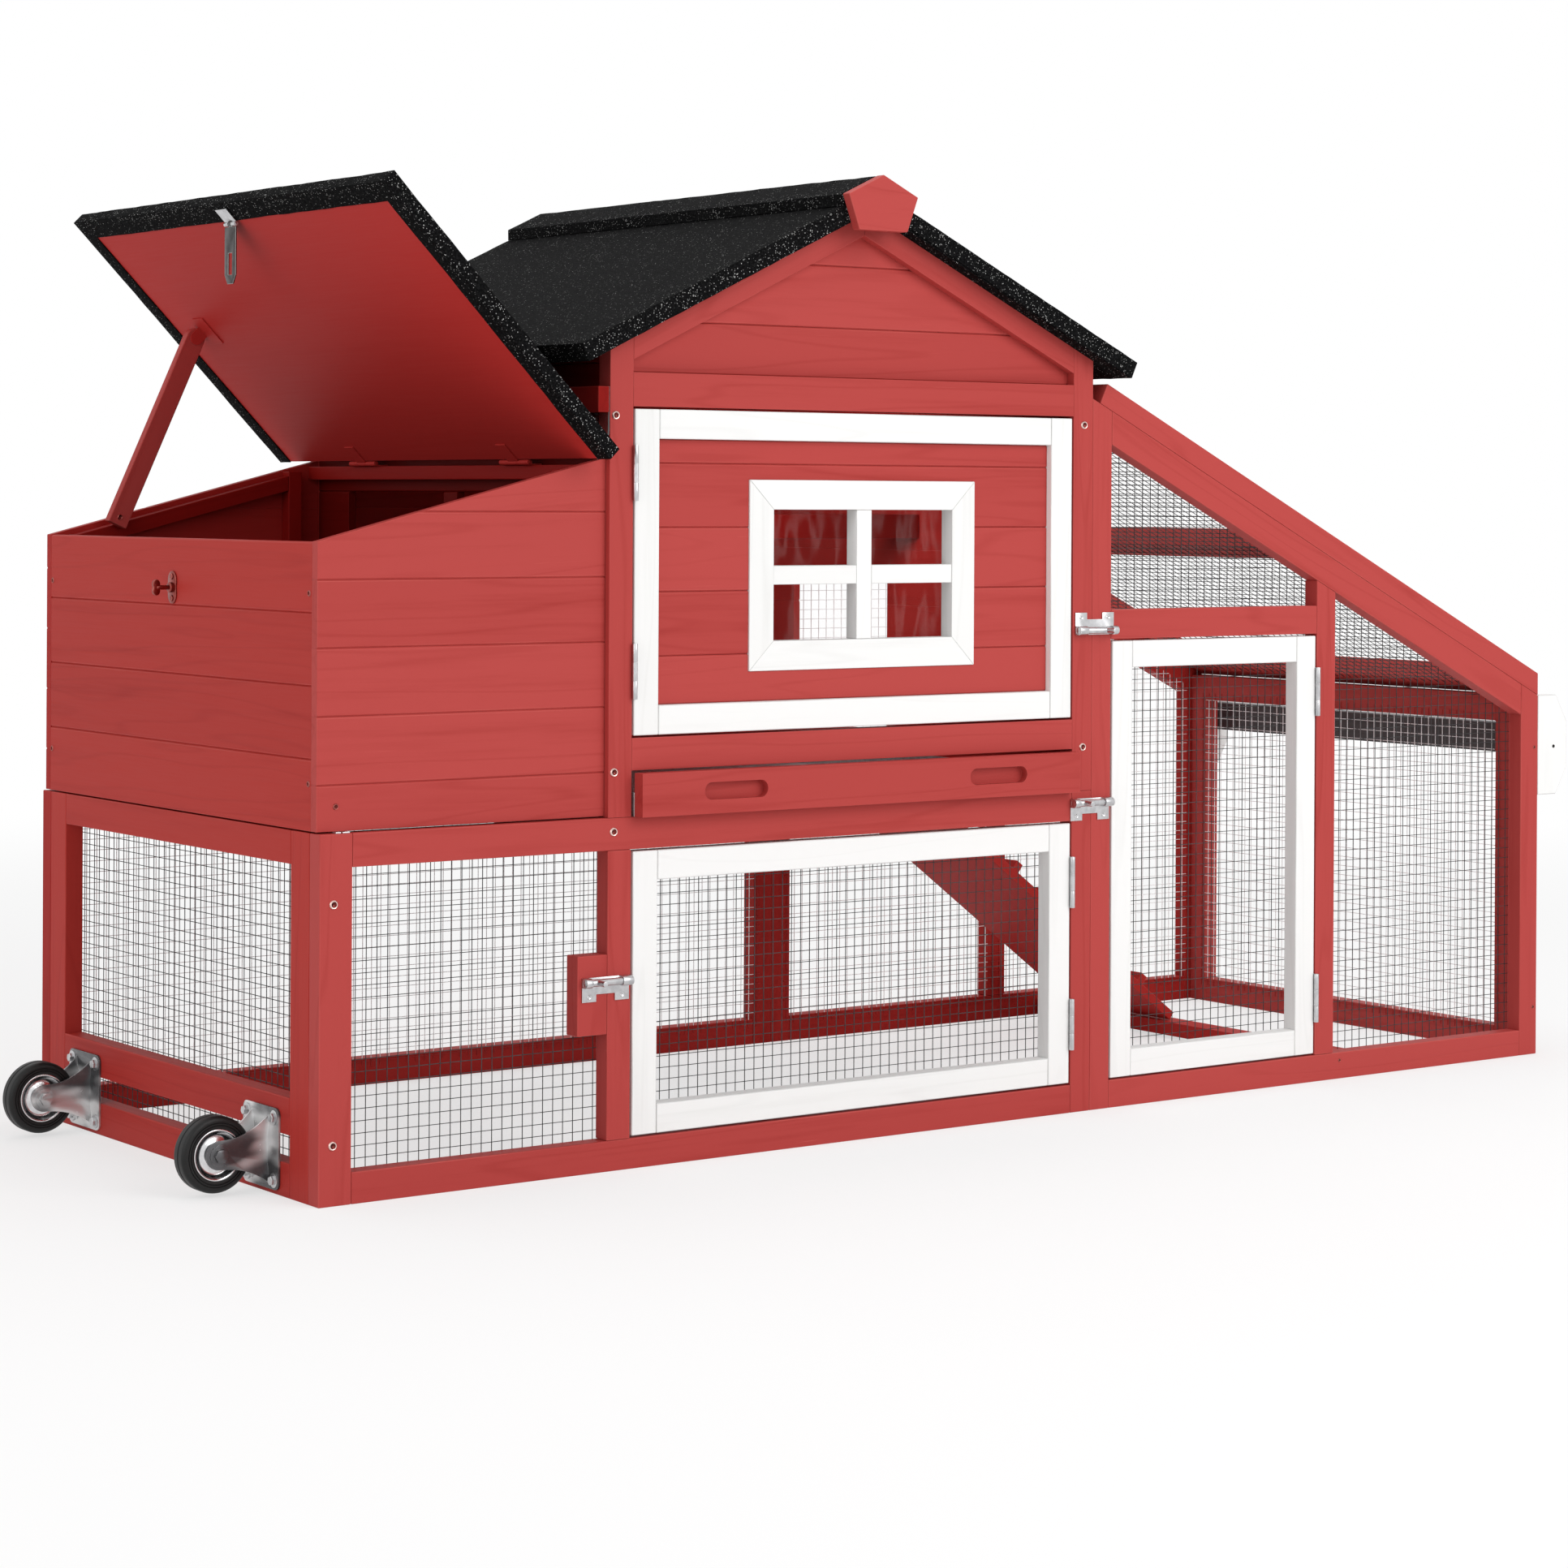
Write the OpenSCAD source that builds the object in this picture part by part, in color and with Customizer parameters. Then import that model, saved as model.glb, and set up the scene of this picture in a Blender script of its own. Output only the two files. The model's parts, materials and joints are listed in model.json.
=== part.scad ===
// Mobile hen house: a boarded sleeping house with a lidded nest box, set over and beside a wire run.
// Millimetres, +Z up, front towards -Y, wheels at the -X end, handle at the +X end.

/* [Overall] */
// Length of the base frame
base_l = 1810; // [1780:2:1900]
// Width of the base frame, front to back
base_w = 666; // [640:2:720]
// Height of the base frame, up to the house floor
base_h = 380; // [370:1:390]
// Distance from the wheel end to the house
house_x = 350; // [346:1:356]
// Length of the house along the base
house_l = 685; // [670:1:700]
// Height of the roof underside at the outside of the house walls
house_h = 896; // [890:1:904]
// Pitch of the house roof in degrees
roof_pitch = 25.3; // [24:0.1:26.5]
// Height of the run roof underside where it meets the house
run_high = 845; // [838:1:850]
// Height of the run roof underside at the handle end
run_low = 471; // [468:1:480]

/* [Timber] */
// Thickness of the frame lumber
frame_t = 22; // [20:0.5:24]
// Width of the stiles of the run and base frames
stile_w = 32; // [28:1:36]
// Height of the foot rails
foot_rail_h = 33; // [30:1:36]
// Height of the head rails of the base
head_rail_h = 35; // [32:1:38]
// Width of the house posts
post_w = 30; // [28:1:34]
// Thickness of the cladding boards
board_t = 10; // [8:0.5:12]
// Cover height of one cladding board
board_h = 70; // [66:1:76]
// Chamfer along the outer edges of each board
board_groove = 1.5; // [1:0.1:2.5]
// Hairline gap at a joint between two pieces of timber
seam = 0.2; // [0.1:0.05:0.4]

/* [Wire net] */
// Pitch of the welded wire
net_pitch = 12.7; // [12:0.1:25.4]
// Thickness of the wire
wire_d = 0.7; // [0.6:0.1:1.2]
// How far the net laps over the back of its frame
net_lap = 10; // [8:1:12]
// Gap between the two layers of wire, and behind the frame
net_gap = 0.1; // [0.05:0.05:0.2]

/* [House front] */
// Height of the slot for the litter tray
tray_slot_h = 50; // [48:1:56]
// Height of the sill rail above the tray
sill_h = 35; // [32:1:40]
// Height of the doorway above the sill rail
doorway_h = 358; // [350:1:364]
// Height of the rail over the doorway
lintel_h = 37; // [34:1:40]
// Width of the trim along the gable slopes, square to the slope
trim_w = 33; // [28:1:38]
// Thickness of the gable trim
trim_t = 12; // [10:0.5:13]

/* [Roof] */
// Thickness of the roof boards
roof_board_t = 12; // [10:0.5:14]
// Thickness of the roofing felt
felt_t = 2.5; // [1.5:0.1:3]
// Overhang of the roof past the house sides
eave_out = 42; // [36:1:46]
// Overhang of the roof past the front and the back
roof_over = 20; // [16:1:24]
// Half width of the ridge cap
ridge_half = 49; // [44:1:54]
// Depth of the ridge cap, square up from the felt
ridge_t = 14; // [12:0.5:18]
// Thickness of the ridge end block
ridge_block_t = 15.5; // [14:0.5:20]
// Height of the ridge end block
ridge_block_h = 63; // [58:1:68]

/* [Nest box] */
// Height of the nest end wall above the ground
nest_low = 678; // [672:1:684]
// Slope of the nest lid when shut, in degrees
nest_pitch = 14.3; // [13.5:0.1:15]
// Thickness of the nest boards
nest_t = 12; // [10:0.5:13]
// Setback of the nest walls from the front and back of the base
nest_inset = 8; // [6:1:12]
// Side of the square battens inside the nest
batten = 18; // [16:1:20]

/* [Nest lid] */
// Opening angle of the lid at rest, above level, in degrees
lid_rest = 45.4; // [44:0.1:47]
// Length of the lid from its hinge to its free edge
lid_l = 396; // [388:1:402]
// Overhang of the lid past the base, front and back
lid_over = 33; // [28:1:36]
// Thickness of the lid board
lid_t = 12; // [10:0.5:14]
// Width of the felt turned under the lid
felt_margin = 24; // [18:1:28]

/* [Doors] */
// Gap around each door
door_gap = 2.5; // [2.2:0.1:3]
// Thickness of the door frames
door_t = 20; // [18:0.5:21]
// Width of the door frame members
door_member = 32; // [28:1:36]
// Width of the run doorway
run_doorway_w = 341; // [330:1:352]
// Height between the rail over the run door and the sloping rail, at the middle stile
run_head_gap = 16.5; // [12:0.5:24]
// Outer width of the window frame
window_w = 320; // [300:2:330]
// Outer height of the window frame
window_h = 212; // [200:2:220]
// Width of the window frame members
window_member = 33; // [30:1:36]

/* [Tray, ramp and perch] */
// Distance the tray front stands proud of the house
tray_proud = 18; // [14:1:22]
// Depth of the tray pan
tray_depth = 26; // [22:1:32]
// Wall of the tray pan
tray_wall = 1.2; // [1:0.1:1.6]
// Slope of the ramp in degrees
ramp_pitch = 36.7; // [35:0.1:38]
// Width of the ramp
ramp_w = 206; // [190:2:220]
// Side of the square perch bar
perch_w = 30; // [26:1:36]

/* [Casters] */
// Diameter of the wheels
wheel_d = 80; // [76:1:84]
// Width of the wheels
wheel_w = 24; // [20:1:26]
// Clearance of the wheels over the ground when the house stands level
wheel_lift = 4; // [2:0.5:8]
// Distance of the axle from the end of the base
axle_out = 58; // [55:1:62]
// Diameter of the axle bolts
axle_d = 8; // [7:0.5:9]

/* [Handle] */
// How far the handle plates reach out from the end
handle_out = 55; // [50:1:60]
// Thickness of the handle plates
handle_plate_t = 18; // [14:1:20]
// Height of the handle plates
handle_plate_h = 131; // [120:1:140]
// Height of the handle bar
handle_bar_h = 39; // [34:1:44]
// Thickness of the handle bar
handle_bar_t = 24; // [20:1:28]

/* [Hidden] */
$fn = 48;

paint_red = "firebrick";
paint_white = "white";
felt_black = [0.08, 0.08, 0.08];
zinc = "silver";
wire_grey = [0.35, 0.35, 0.36];
clear_film = [0.85, 0.9, 0.92, 0.5];
tyre_black = [0.1, 0.1, 0.1];

// Overrun of every cut past the faces that it goes through
cut = 1;
// Running clearance between a pin and its bore, on the radius
pin_play = 0.05;
// Small gap between pieces that slide or swing past each other
slip = 0.3;

// Lengthways places
door_x0 = house_x + post_w;
house_x1 = house_x + house_l;
door_x1 = house_x1 - post_w;
run_x0 = house_x1 + post_w;
run_mid_x0 = run_x0 + run_doorway_w;
run_mid_x1 = run_mid_x0 + stile_w;
run_end_x0 = base_l - stile_w;
ridge_x = house_x + house_l / 2;
corner_stile_more = 6;
corner_stile_w = stile_w + corner_stile_more;

// Heights up the house front
tray_top = base_h + tray_slot_h;
door_z0 = tray_top + sill_h;
door_z1 = door_z0 + doorway_h;
gable_z = door_z1 + lintel_h;

// Slopes
run_fall = (run_high - run_low) / (base_l - house_x1);
run_pitch = atan(run_fall);
run_rail_w = 36;
run_rail_drop = run_rail_w / cos(run_pitch);
run_roof_t = 26;
run_roof_member = 35;
nest_rise = tan(nest_pitch);
function roof_z(x) = house_h + (house_l / 2 - abs(x - ridge_x)) * tan(roof_pitch);
function run_z(x) = run_high - (x - house_x1) * run_fall;
function nest_z(x) = nest_low + x * nest_rise;
run_doorway_top = run_z(run_mid_x1) - run_rail_drop - head_rail_h - run_head_gap;

// Whole part: its middle stands on the origin
wheel_r = wheel_d / 2;
mid_x = (base_l + handle_out - axle_out - wheel_r) / 2;
mid_y = base_w / 2;
module place() translate([-mid_x, -mid_y, 0]) children();

// A box between two opposite corners
module slab(low, high) translate(low) cube(high - low);

// Outlines drawn in two axes and extruded along the third
module along_x(x0, x1) translate([x0, 0, 0]) rotate([90, 0, 90]) linear_extrude(x1 - x0) children();
module along_y(y0, y1) translate([0, y1, 0]) rotate([90, 0, 0]) linear_extrude(y1 - y0) children();
module rod_x(x0, x1, r) translate([x0, 0, 0]) rotate([0, 90, 0]) cylinder(h = x1 - x0, r = r);
module rod_y(y0, y1, r) translate([0, y0, 0]) rotate([-90, 0, 0]) cylinder(h = y1 - y0, r = r);

// The back of the base is the front mirrored
module to_back() translate([0, base_w, 0]) mirror([0, 1, 0]) children();

// Section of one cladding board, with its outer face at out and its back at in
module board_section(out, in, z0, z1) {
    s = sign(in - out) * board_groove;
    polygon([
        [out, z0 + board_groove], [out + s, z0], [in, z0],
        [in, z1], [out + s, z1], [out, z1 - board_groove]
    ]);
}

// Wire net in the XZ plane: top(x) falls from z1 by fall per millimetre past x0
module net_xz(x0, x1, z0, z1, y, fall = 0) {
    columns = floor((x1 - x0) / net_pitch);
    rows = floor((z1 - z0) / net_pitch);
    x_first = x0 + ((x1 - x0) - columns * net_pitch) / 2;
    y_rows = y + wire_d + net_gap;
    for (i = [0:columns]) {
        x = x_first + i * net_pitch;
        slab([x - wire_d / 2, y, z0], [x + wire_d / 2, y + wire_d, z1 - (x - x0) * fall]);
    }
    for (j = [0:rows]) {
        z = z0 + (j + 1 / 2) * net_pitch;
        x_last = fall > 0 ? min(x1, x0 + (z1 - z) / fall) : x1;
        if (z < z1 && x_last > x0 + net_pitch)
            slab([x0, y_rows, z - wire_d / 2], [x_last, y_rows + wire_d, z + wire_d / 2]);
    }
}

// Wire net in the YZ plane, stepping away from x in the direction side
module net_yz(y0, y1, z0, z1, x, side) {
    columns = floor((y1 - y0) / net_pitch);
    rows = floor((z1 - z0) / net_pitch);
    y_first = y0 + ((y1 - y0) - columns * net_pitch) / 2;
    near = side > 0 ? x : x - wire_d;
    far = side > 0 ? x + wire_d + net_gap : x - net_gap - 2 * wire_d;
    for (i = [0:columns]) {
        y = y_first + i * net_pitch;
        slab([near, y - wire_d / 2, z0], [near + wire_d, y + wire_d / 2, z1]);
    }
    for (j = [0:rows - 1]) {
        z = z0 + (j + 1 / 2) * net_pitch;
        slab([far, y0, z - wire_d / 2], [far + wire_d, y1, z + wire_d / 2]);
    }
}

// Base frames

// Stiles and rails that the front and the back of the base share
module base_side_members() {
    inner0 = corner_stile_w + seam;
    inner1 = door_x1 - seam;
    slab([0, 0, 0], [corner_stile_w, frame_t, base_h]);
    slab([house_x, 0, foot_rail_h + seam], [door_x0, frame_t, base_h - head_rail_h - seam]);
    slab([door_x1, 0, 0], [house_x1 - seam, frame_t, base_h]);
    slab([inner0, 0, 0], [inner1, frame_t, foot_rail_h]);
    slab([inner0, 0, base_h - head_rail_h], [inner1, frame_t, base_h]);
}

latch_block_w = 38;
latch_block_h = 86;
lower_bolt_share = 0.54;
lower_bolt_z = base_h * lower_bolt_share;
module base_front_frame() color(paint_red) place() {
    base_side_members();
    slab([house_x - latch_block_w, 0, lower_bolt_z - latch_block_h * 2 / 3],
        [house_x - seam, frame_t, lower_bolt_z + latch_block_h / 3]);
}
module base_back_frame() color(paint_red) place() to_back() base_side_members();

// Two low rails carry the caster plates
end_stile_w = 40;
end_low_rail_h = 36;
end_caster_rail_z = 65;
end_caster_rail_h = 39;
module base_end_frame() color(paint_red) place() {
    y0 = frame_t + seam;
    y1 = base_w - frame_t - seam;
    rail_y0 = y0 + end_stile_w + seam;
    rail_y1 = y1 - end_stile_w - seam;
    slab([0, y0, 0], [frame_t, y0 + end_stile_w, base_h]);
    slab([0, y1 - end_stile_w, 0], [frame_t, y1, base_h]);
    slab([0, rail_y0, 0], [frame_t, rail_y1, end_low_rail_h]);
    slab([0, rail_y0, end_caster_rail_z], [frame_t, rail_y1, end_caster_rail_z + end_caster_rail_h]);
    slab([0, rail_y0, base_h - head_rail_h], [frame_t, rail_y1, base_h]);
}

net_y = frame_t + net_gap;
net_stack = 2 * (wire_d + net_gap) + slip;
net_low = foot_rail_h - net_lap;
base_net_top = base_h - head_rail_h + net_lap;
module front_left_net() color(wire_grey) place()
    net_xz(corner_stile_w - net_lap, house_x + net_lap, net_low, base_net_top, net_y);
module base_back_net() color(wire_grey) place() to_back()
    net_xz(corner_stile_w - net_lap, door_x1 + net_lap, net_low, base_net_top, net_y);
module base_end_net() color(wire_grey) place() {
    y0 = frame_t + end_stile_w - net_lap;
    net_yz(y0, base_w - y0, net_low, base_net_top, frame_t + net_gap, 1);
}

// Run frames

// Stiles, sloping rail and foot rail that both sides of the run share
module run_side_members() {
    x_low = run_x0 + seam;
    x_high = run_end_x0 - seam;
    along_y(0, frame_t) polygon([
        [house_x1, 0], [run_x0, 0], [run_x0, run_z(run_x0) - seam], [house_x1, run_z(house_x1) - seam]
    ]);
    along_y(0, frame_t) polygon([
        [run_end_x0, 0], [base_l, 0], [base_l, run_z(base_l) - seam], [run_end_x0, run_z(run_end_x0) - seam]
    ]);
    along_y(0, frame_t) polygon([
        [x_low, run_z(x_low) - seam], [x_low, run_z(x_low) - run_rail_drop],
        [x_high, run_z(x_high) - run_rail_drop], [x_high, run_z(x_high) - seam]
    ]);
    along_y(0, frame_t) polygon([
        [run_mid_x0, foot_rail_h + seam], [run_mid_x1, foot_rail_h + seam],
        [run_mid_x1, run_z(run_mid_x1) - run_rail_drop - seam],
        [run_mid_x0, run_z(run_mid_x0) - run_rail_drop - seam]
    ]);
    slab([x_low, 0, 0], [x_high, frame_t, foot_rail_h]);
}
module run_front_frame() color(paint_red) place() {
    run_side_members();
    slab([run_x0 + seam, 0, run_doorway_top], [run_mid_x0 - seam, frame_t, run_doorway_top + head_rail_h]);
}
module run_back_frame() color(paint_red) place() to_back() run_side_members();
module run_end_frame() color(paint_red) place() {
    x0 = base_l - frame_t;
    y0 = frame_t + seam;
    y1 = base_w - y0;
    top = run_low - seam;
    slab([x0, y0, 0], [base_l, y0 + stile_w, top]);
    slab([x0, y1 - stile_w, 0], [base_l, y1, top]);
    slab([x0, y0 + stile_w + seam, 0], [base_l, y1 - stile_w - seam, foot_rail_h]);
    slab([x0, y0 + stile_w + seam, top - head_rail_h], [base_l, y1 - stile_w - seam, top]);
}

// The run roof is drawn flat and tipped down its slope
run_roof_l = (base_l - house_x1) / cos(run_pitch);
module down_run_slope() translate([house_x1, 0, run_high]) rotate([0, run_pitch, 0]) children();
module run_roof_frame() color(paint_red) place() down_run_slope() {
    m = run_roof_member;
    x0 = run_roof_t * tan(run_pitch) + seam;
    slab([x0, 0, 0], [run_roof_l, m, run_roof_t]);
    slab([x0, base_w - m, 0], [run_roof_l, base_w, run_roof_t]);
    for (x = [x0, (run_roof_l - m) / 2, run_roof_l - m])
        slab([x, m + seam, 0], [x + m, base_w - m - seam, run_roof_t]);
}

run_net_drop = run_rail_drop - net_lap;
module run_gable_net() color(wire_grey) place() {
    x0 = run_x0 - net_lap;
    z0 = run_doorway_top + head_rail_h - net_lap;
    net_xz(x0, run_mid_x0 + net_lap, z0, run_z(x0) - run_net_drop, net_y, run_fall);
}
module run_front_net() color(wire_grey) place() {
    x0 = run_mid_x1 - net_lap;
    net_xz(x0, run_end_x0 + net_lap - slip, net_low, run_z(x0) - run_net_drop, net_y, run_fall);
}
module run_back_net() color(wire_grey) place() to_back() {
    x0 = run_x0 - net_lap;
    net_xz(x0, run_end_x0 + net_lap - slip, net_low, run_z(x0) - run_net_drop, net_y, run_fall);
}
module run_end_net() color(wire_grey) place() {
    y0 = frame_t + stile_w - net_lap;
    top = run_low - head_rail_h + net_lap;
    net_yz(y0, base_w - y0, net_low, top, base_l - frame_t - net_gap, -1);
}
module run_roof_net() color(wire_grey) place() down_run_slope() {
    m = run_roof_member;
    x0 = m;
    x1 = run_roof_l - m;
    y0 = m - net_lap;
    y1 = base_w - y0;
    low = -net_gap - wire_d;
    lower = low - net_gap - wire_d;
    runs = floor((y1 - y0) / net_pitch);
    crossings = floor((x1 - x0) / net_pitch);
    y_first = y0 + ((y1 - y0) - runs * net_pitch) / 2;
    for (i = [0:runs]) {
        y = y_first + i * net_pitch;
        slab([x0 - net_lap, y - wire_d / 2, low], [x1 + net_lap, y + wire_d / 2, low + wire_d]);
    }
    for (j = [0:crossings - 1]) {
        x = x0 + (j + 1 / 2) * net_pitch;
        slab([x - wire_d / 2, y0, lower], [x + wire_d / 2, y1, lower + wire_d]);
    }
}

// House

post_foot = base_h + seam;
module house_post(x0, x1) along_y(0, frame_t) polygon([
    [x0, post_foot], [x1, post_foot], [x1, roof_z(x1) - seam], [x0, roof_z(x0) - seam]
]);
module house_rail(z0, z1) slab([door_x0 + seam, 0, z0], [door_x1 - seam, frame_t, z1]);

// Outline of the gable between the posts, above the lintel
module gable_outline(drop) polygon([
    [door_x0 + seam, gable_z + seam], [door_x1 - seam, gable_z + seam],
    [door_x1 - seam, roof_z(door_x1) - drop], [ridge_x, roof_z(ridge_x) - drop],
    [door_x0 + seam, roof_z(door_x0) - drop]
]);
gable_boards = ceil((roof_z(ridge_x) - gable_z) / board_h);
gable_first_share = 0.81;
gable_first_h = board_h * gable_first_share;
module gable() {
    depth = trim_w / cos(roof_pitch);
    for (i = [0:gable_boards - 1]) {
        z0 = gable_z + (i == 0 ? seam : gable_first_h + (i - 1) * board_h);
        z1 = gable_z + gable_first_h + i * board_h - seam;
        if (z0 + board_groove * 2 < roof_z(ridge_x))
            intersection() {
                along_y(trim_t + seam, frame_t) gable_outline(seam);
                along_x(house_x, house_x1) board_section(trim_t + seam, frame_t, z0, z1);
            }
    }
    for (side = [0, 1])
        translate([side * 2 * ridge_x, 0, 0]) mirror([side, 0, 0]) along_y(0, trim_t) polygon([
            [door_x0 + seam, roof_z(door_x0) - seam], [ridge_x - seam, roof_z(ridge_x) - seam],
            [ridge_x - seam, roof_z(ridge_x) - depth], [door_x0 + seam, roof_z(door_x0) - depth]
        ]);
}
module house_front() color(paint_red) place() {
    house_post(house_x, door_x0);
    house_post(door_x1, house_x1 - seam);
    house_rail(tray_top, door_z0);
    house_rail(door_z1, gable_z);
    gable();
}

// The back is boarded from the floor to the gable, with a sill and a lintel like the front
module house_back_wall() color(paint_red) place() to_back() {
    house_post(house_x, door_x0);
    house_post(door_x1, house_x1 - seam);
    house_rail(post_foot, tray_top);
    house_rail(door_z1, gable_z);
    rows = ceil((door_z1 - tray_top) / board_h);
    for (i = [0:rows - 1])
        along_x(door_x0 + seam, door_x1 - seam)
            board_section(trim_t, frame_t, tray_top + i * board_h + seam,
                min(tray_top + (i + 1) * board_h, door_z1 - seam));
    gable();
}

// Side walls: boards between the posts, with the ways into the nest and down to the run
nest_hole_rise = 25;
nest_hole_h = 325;
nest_hole_z0 = base_h + nest_hole_rise;
nest_hole_z1 = nest_hole_z0 + nest_hole_h;
nest_hole_side = 96;
nest_divider_t = 12;
nest_hole_gap = 15;
pop_w = 200;
pop_h = 200;
pop_side = 82;
pop_y1 = base_w - pop_side;
pop_y0 = pop_y1 - pop_w;
pop_z1 = tray_top + pop_h;
module side_wall(out, in) {
    rows = ceil((house_h - base_h) / board_h);
    for (i = [0:rows - 1]) {
        z0 = base_h + i * board_h + seam;
        z1 = min(base_h + (i + 1) * board_h, house_h - seam);
        along_y(frame_t + seam, base_w - frame_t - seam) board_section(out, in, z0, z1);
    }
}
module house_left_wall() color(paint_red) place() difference() {
    side_wall(house_x, house_x + board_t);
    for (y = [[nest_hole_side, mid_y - nest_hole_gap], [mid_y + nest_hole_gap, base_w - nest_hole_side]])
        slab([house_x - cut, y[0], nest_hole_z0], [house_x + board_t + cut, y[1], nest_hole_z1]);
}
module house_right_wall() color(paint_red) place() difference() {
    side_wall(house_x1 - seam, house_x1 - seam - board_t);
    slab([house_x1 - board_t - cut, pop_y0, tray_top + seam], [house_x1 + cut, pop_y1, pop_z1]);
}

// Roof: a board and a felt skin on each slope, closed by the ridge cap
eave_x = house_x - eave_out;
roof_y0 = -roof_over;
roof_y1 = base_w + roof_over;
module both_slopes() {
    children();
    translate([2 * ridge_x, 0, 0]) mirror([1, 0, 0]) children();
}
// Slab of roof on the left slope, from low to high above the underside, grown past the eave
module slope_slab(low, high, eave_grow, y_grow) {
    sx = sin(roof_pitch);
    cz = cos(roof_pitch);
    ex = eave_x - eave_grow * cz;
    ez = roof_z(eave_x) - eave_grow * sx;
    along_y(roof_y0 - y_grow, roof_y1 + y_grow) polygon([
        [ex - low * sx, ez + low * cz], [ex - high * sx, ez + high * cz],
        [ridge_x - seam, roof_z(ridge_x) + high / cz], [ridge_x - seam, roof_z(ridge_x) + low / cz]
    ]);
}
module roof_boards() color(paint_red) place() both_slopes() slope_slab(0, roof_board_t, 0, 0);
module roof_felt() color(felt_black) place() both_slopes() difference() {
    slope_slab(0, roof_board_t + felt_t, felt_t, felt_t);
    slope_slab(-cut, roof_board_t, 0, 0);
}
roof_top = roof_z(ridge_x) + (roof_board_t + felt_t) / cos(roof_pitch);
ridge_lift = seam;
ridge_fall = ridge_half * tan(roof_pitch);
ridge_base = roof_top + ridge_lift;
ridge_top = ridge_base + ridge_t;
module ridge_cap() color(felt_black) place() along_y(roof_y0, roof_y1) polygon([
    [ridge_x, ridge_base], [ridge_x + ridge_half, ridge_base - ridge_fall],
    [ridge_x + ridge_half, ridge_top - ridge_fall], [ridge_x, ridge_top],
    [ridge_x - ridge_half, ridge_top - ridge_fall], [ridge_x - ridge_half, ridge_base - ridge_fall]
]);
ridge_foot_half = 34;
module ridge_block() color(paint_red) place()
    along_y(roof_y0 - ridge_block_t, roof_y0 - felt_t - seam) polygon([
        [ridge_x, ridge_top], [ridge_x + ridge_half, ridge_top - ridge_fall],
        [ridge_x + ridge_foot_half, ridge_top - ridge_block_h],
        [ridge_x - ridge_foot_half, ridge_top - ridge_block_h], [ridge_x - ridge_half, ridge_top - ridge_fall]
    ]);

// Nest box

nest_y0 = nest_inset;
nest_y1 = base_w - nest_inset;
nest_in_y0 = nest_y0 + nest_t;
nest_in_y1 = nest_y1 - nest_t;
nest_x1 = house_x - seam;
nest_first_h = 49;
module nest_side_wall() {
    rows = ceil((nest_z(nest_x1) - base_h - nest_first_h) / board_h);
    for (i = [0:rows]) {
        z0 = base_h + seam + (i == 0 ? 0 : nest_first_h + (i - 1) * board_h);
        z1 = base_h + nest_first_h + i * board_h;
        intersection() {
            along_x(nest_t + seam, nest_x1) board_section(nest_y0, nest_in_y0, z0, z1);
            along_y(nest_y0, nest_in_y0) polygon([
                [0, base_h], [nest_x1, base_h], [nest_x1, nest_z(nest_x1)], [0, nest_z(0)]
            ]);
        }
    }
}
module nest_front_wall() color(paint_red) place() nest_side_wall();
module nest_back_wall() color(paint_red) place() to_back() nest_side_wall();

// End wall of the nest, with the staple plate for the lid hasp and a bored boss for the turning knob
nest_end_board_h = 75;
staple_drop = 54;
staple_z = nest_low - staple_drop;
staple_w = 30;
staple_h = 34;
staple_t = 1.5;
staple_boss_r = 6;
staple_boss_l = 6;
staple_shank_r = 2.6;
module nest_end_wall() color(paint_red) place() {
    top = nest_low - seam;
    rows = ceil((top - base_h) / nest_end_board_h) - 1;
    for (i = [0:rows]) {
        z0 = base_h + seam + i * nest_end_board_h;
        z1 = i < rows ? base_h + (i + 1) * nest_end_board_h : top;
        along_y(nest_y0, nest_y1) board_section(0, nest_t, z0, z1);
    }
    translate([0, mid_y, staple_z]) difference() {
        union() {
            slab([-staple_t - slip, -staple_w / 2, -staple_h / 2], [-slip, staple_w / 2, staple_h / 2]);
            rod_x(-staple_boss_l, -slip, staple_boss_r);
        }
        rod_x(-staple_boss_l - cut, cut, staple_shank_r + pin_play);
    }
}

nest_floor_t = 10;
nest_divider_h = 170;
module nest_floor() color(paint_red) place() {
    z0 = base_h + seam;
    slab([nest_t + seam, nest_in_y0 + seam, z0], [nest_x1, nest_in_y1 - seam, z0 + nest_floor_t]);
    slab([nest_t + seam, mid_y - nest_divider_t / 2, z0 + nest_floor_t + seam],
        [nest_x1, mid_y + nest_divider_t / 2, z0 + nest_floor_t + nest_divider_h]);
}

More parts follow.
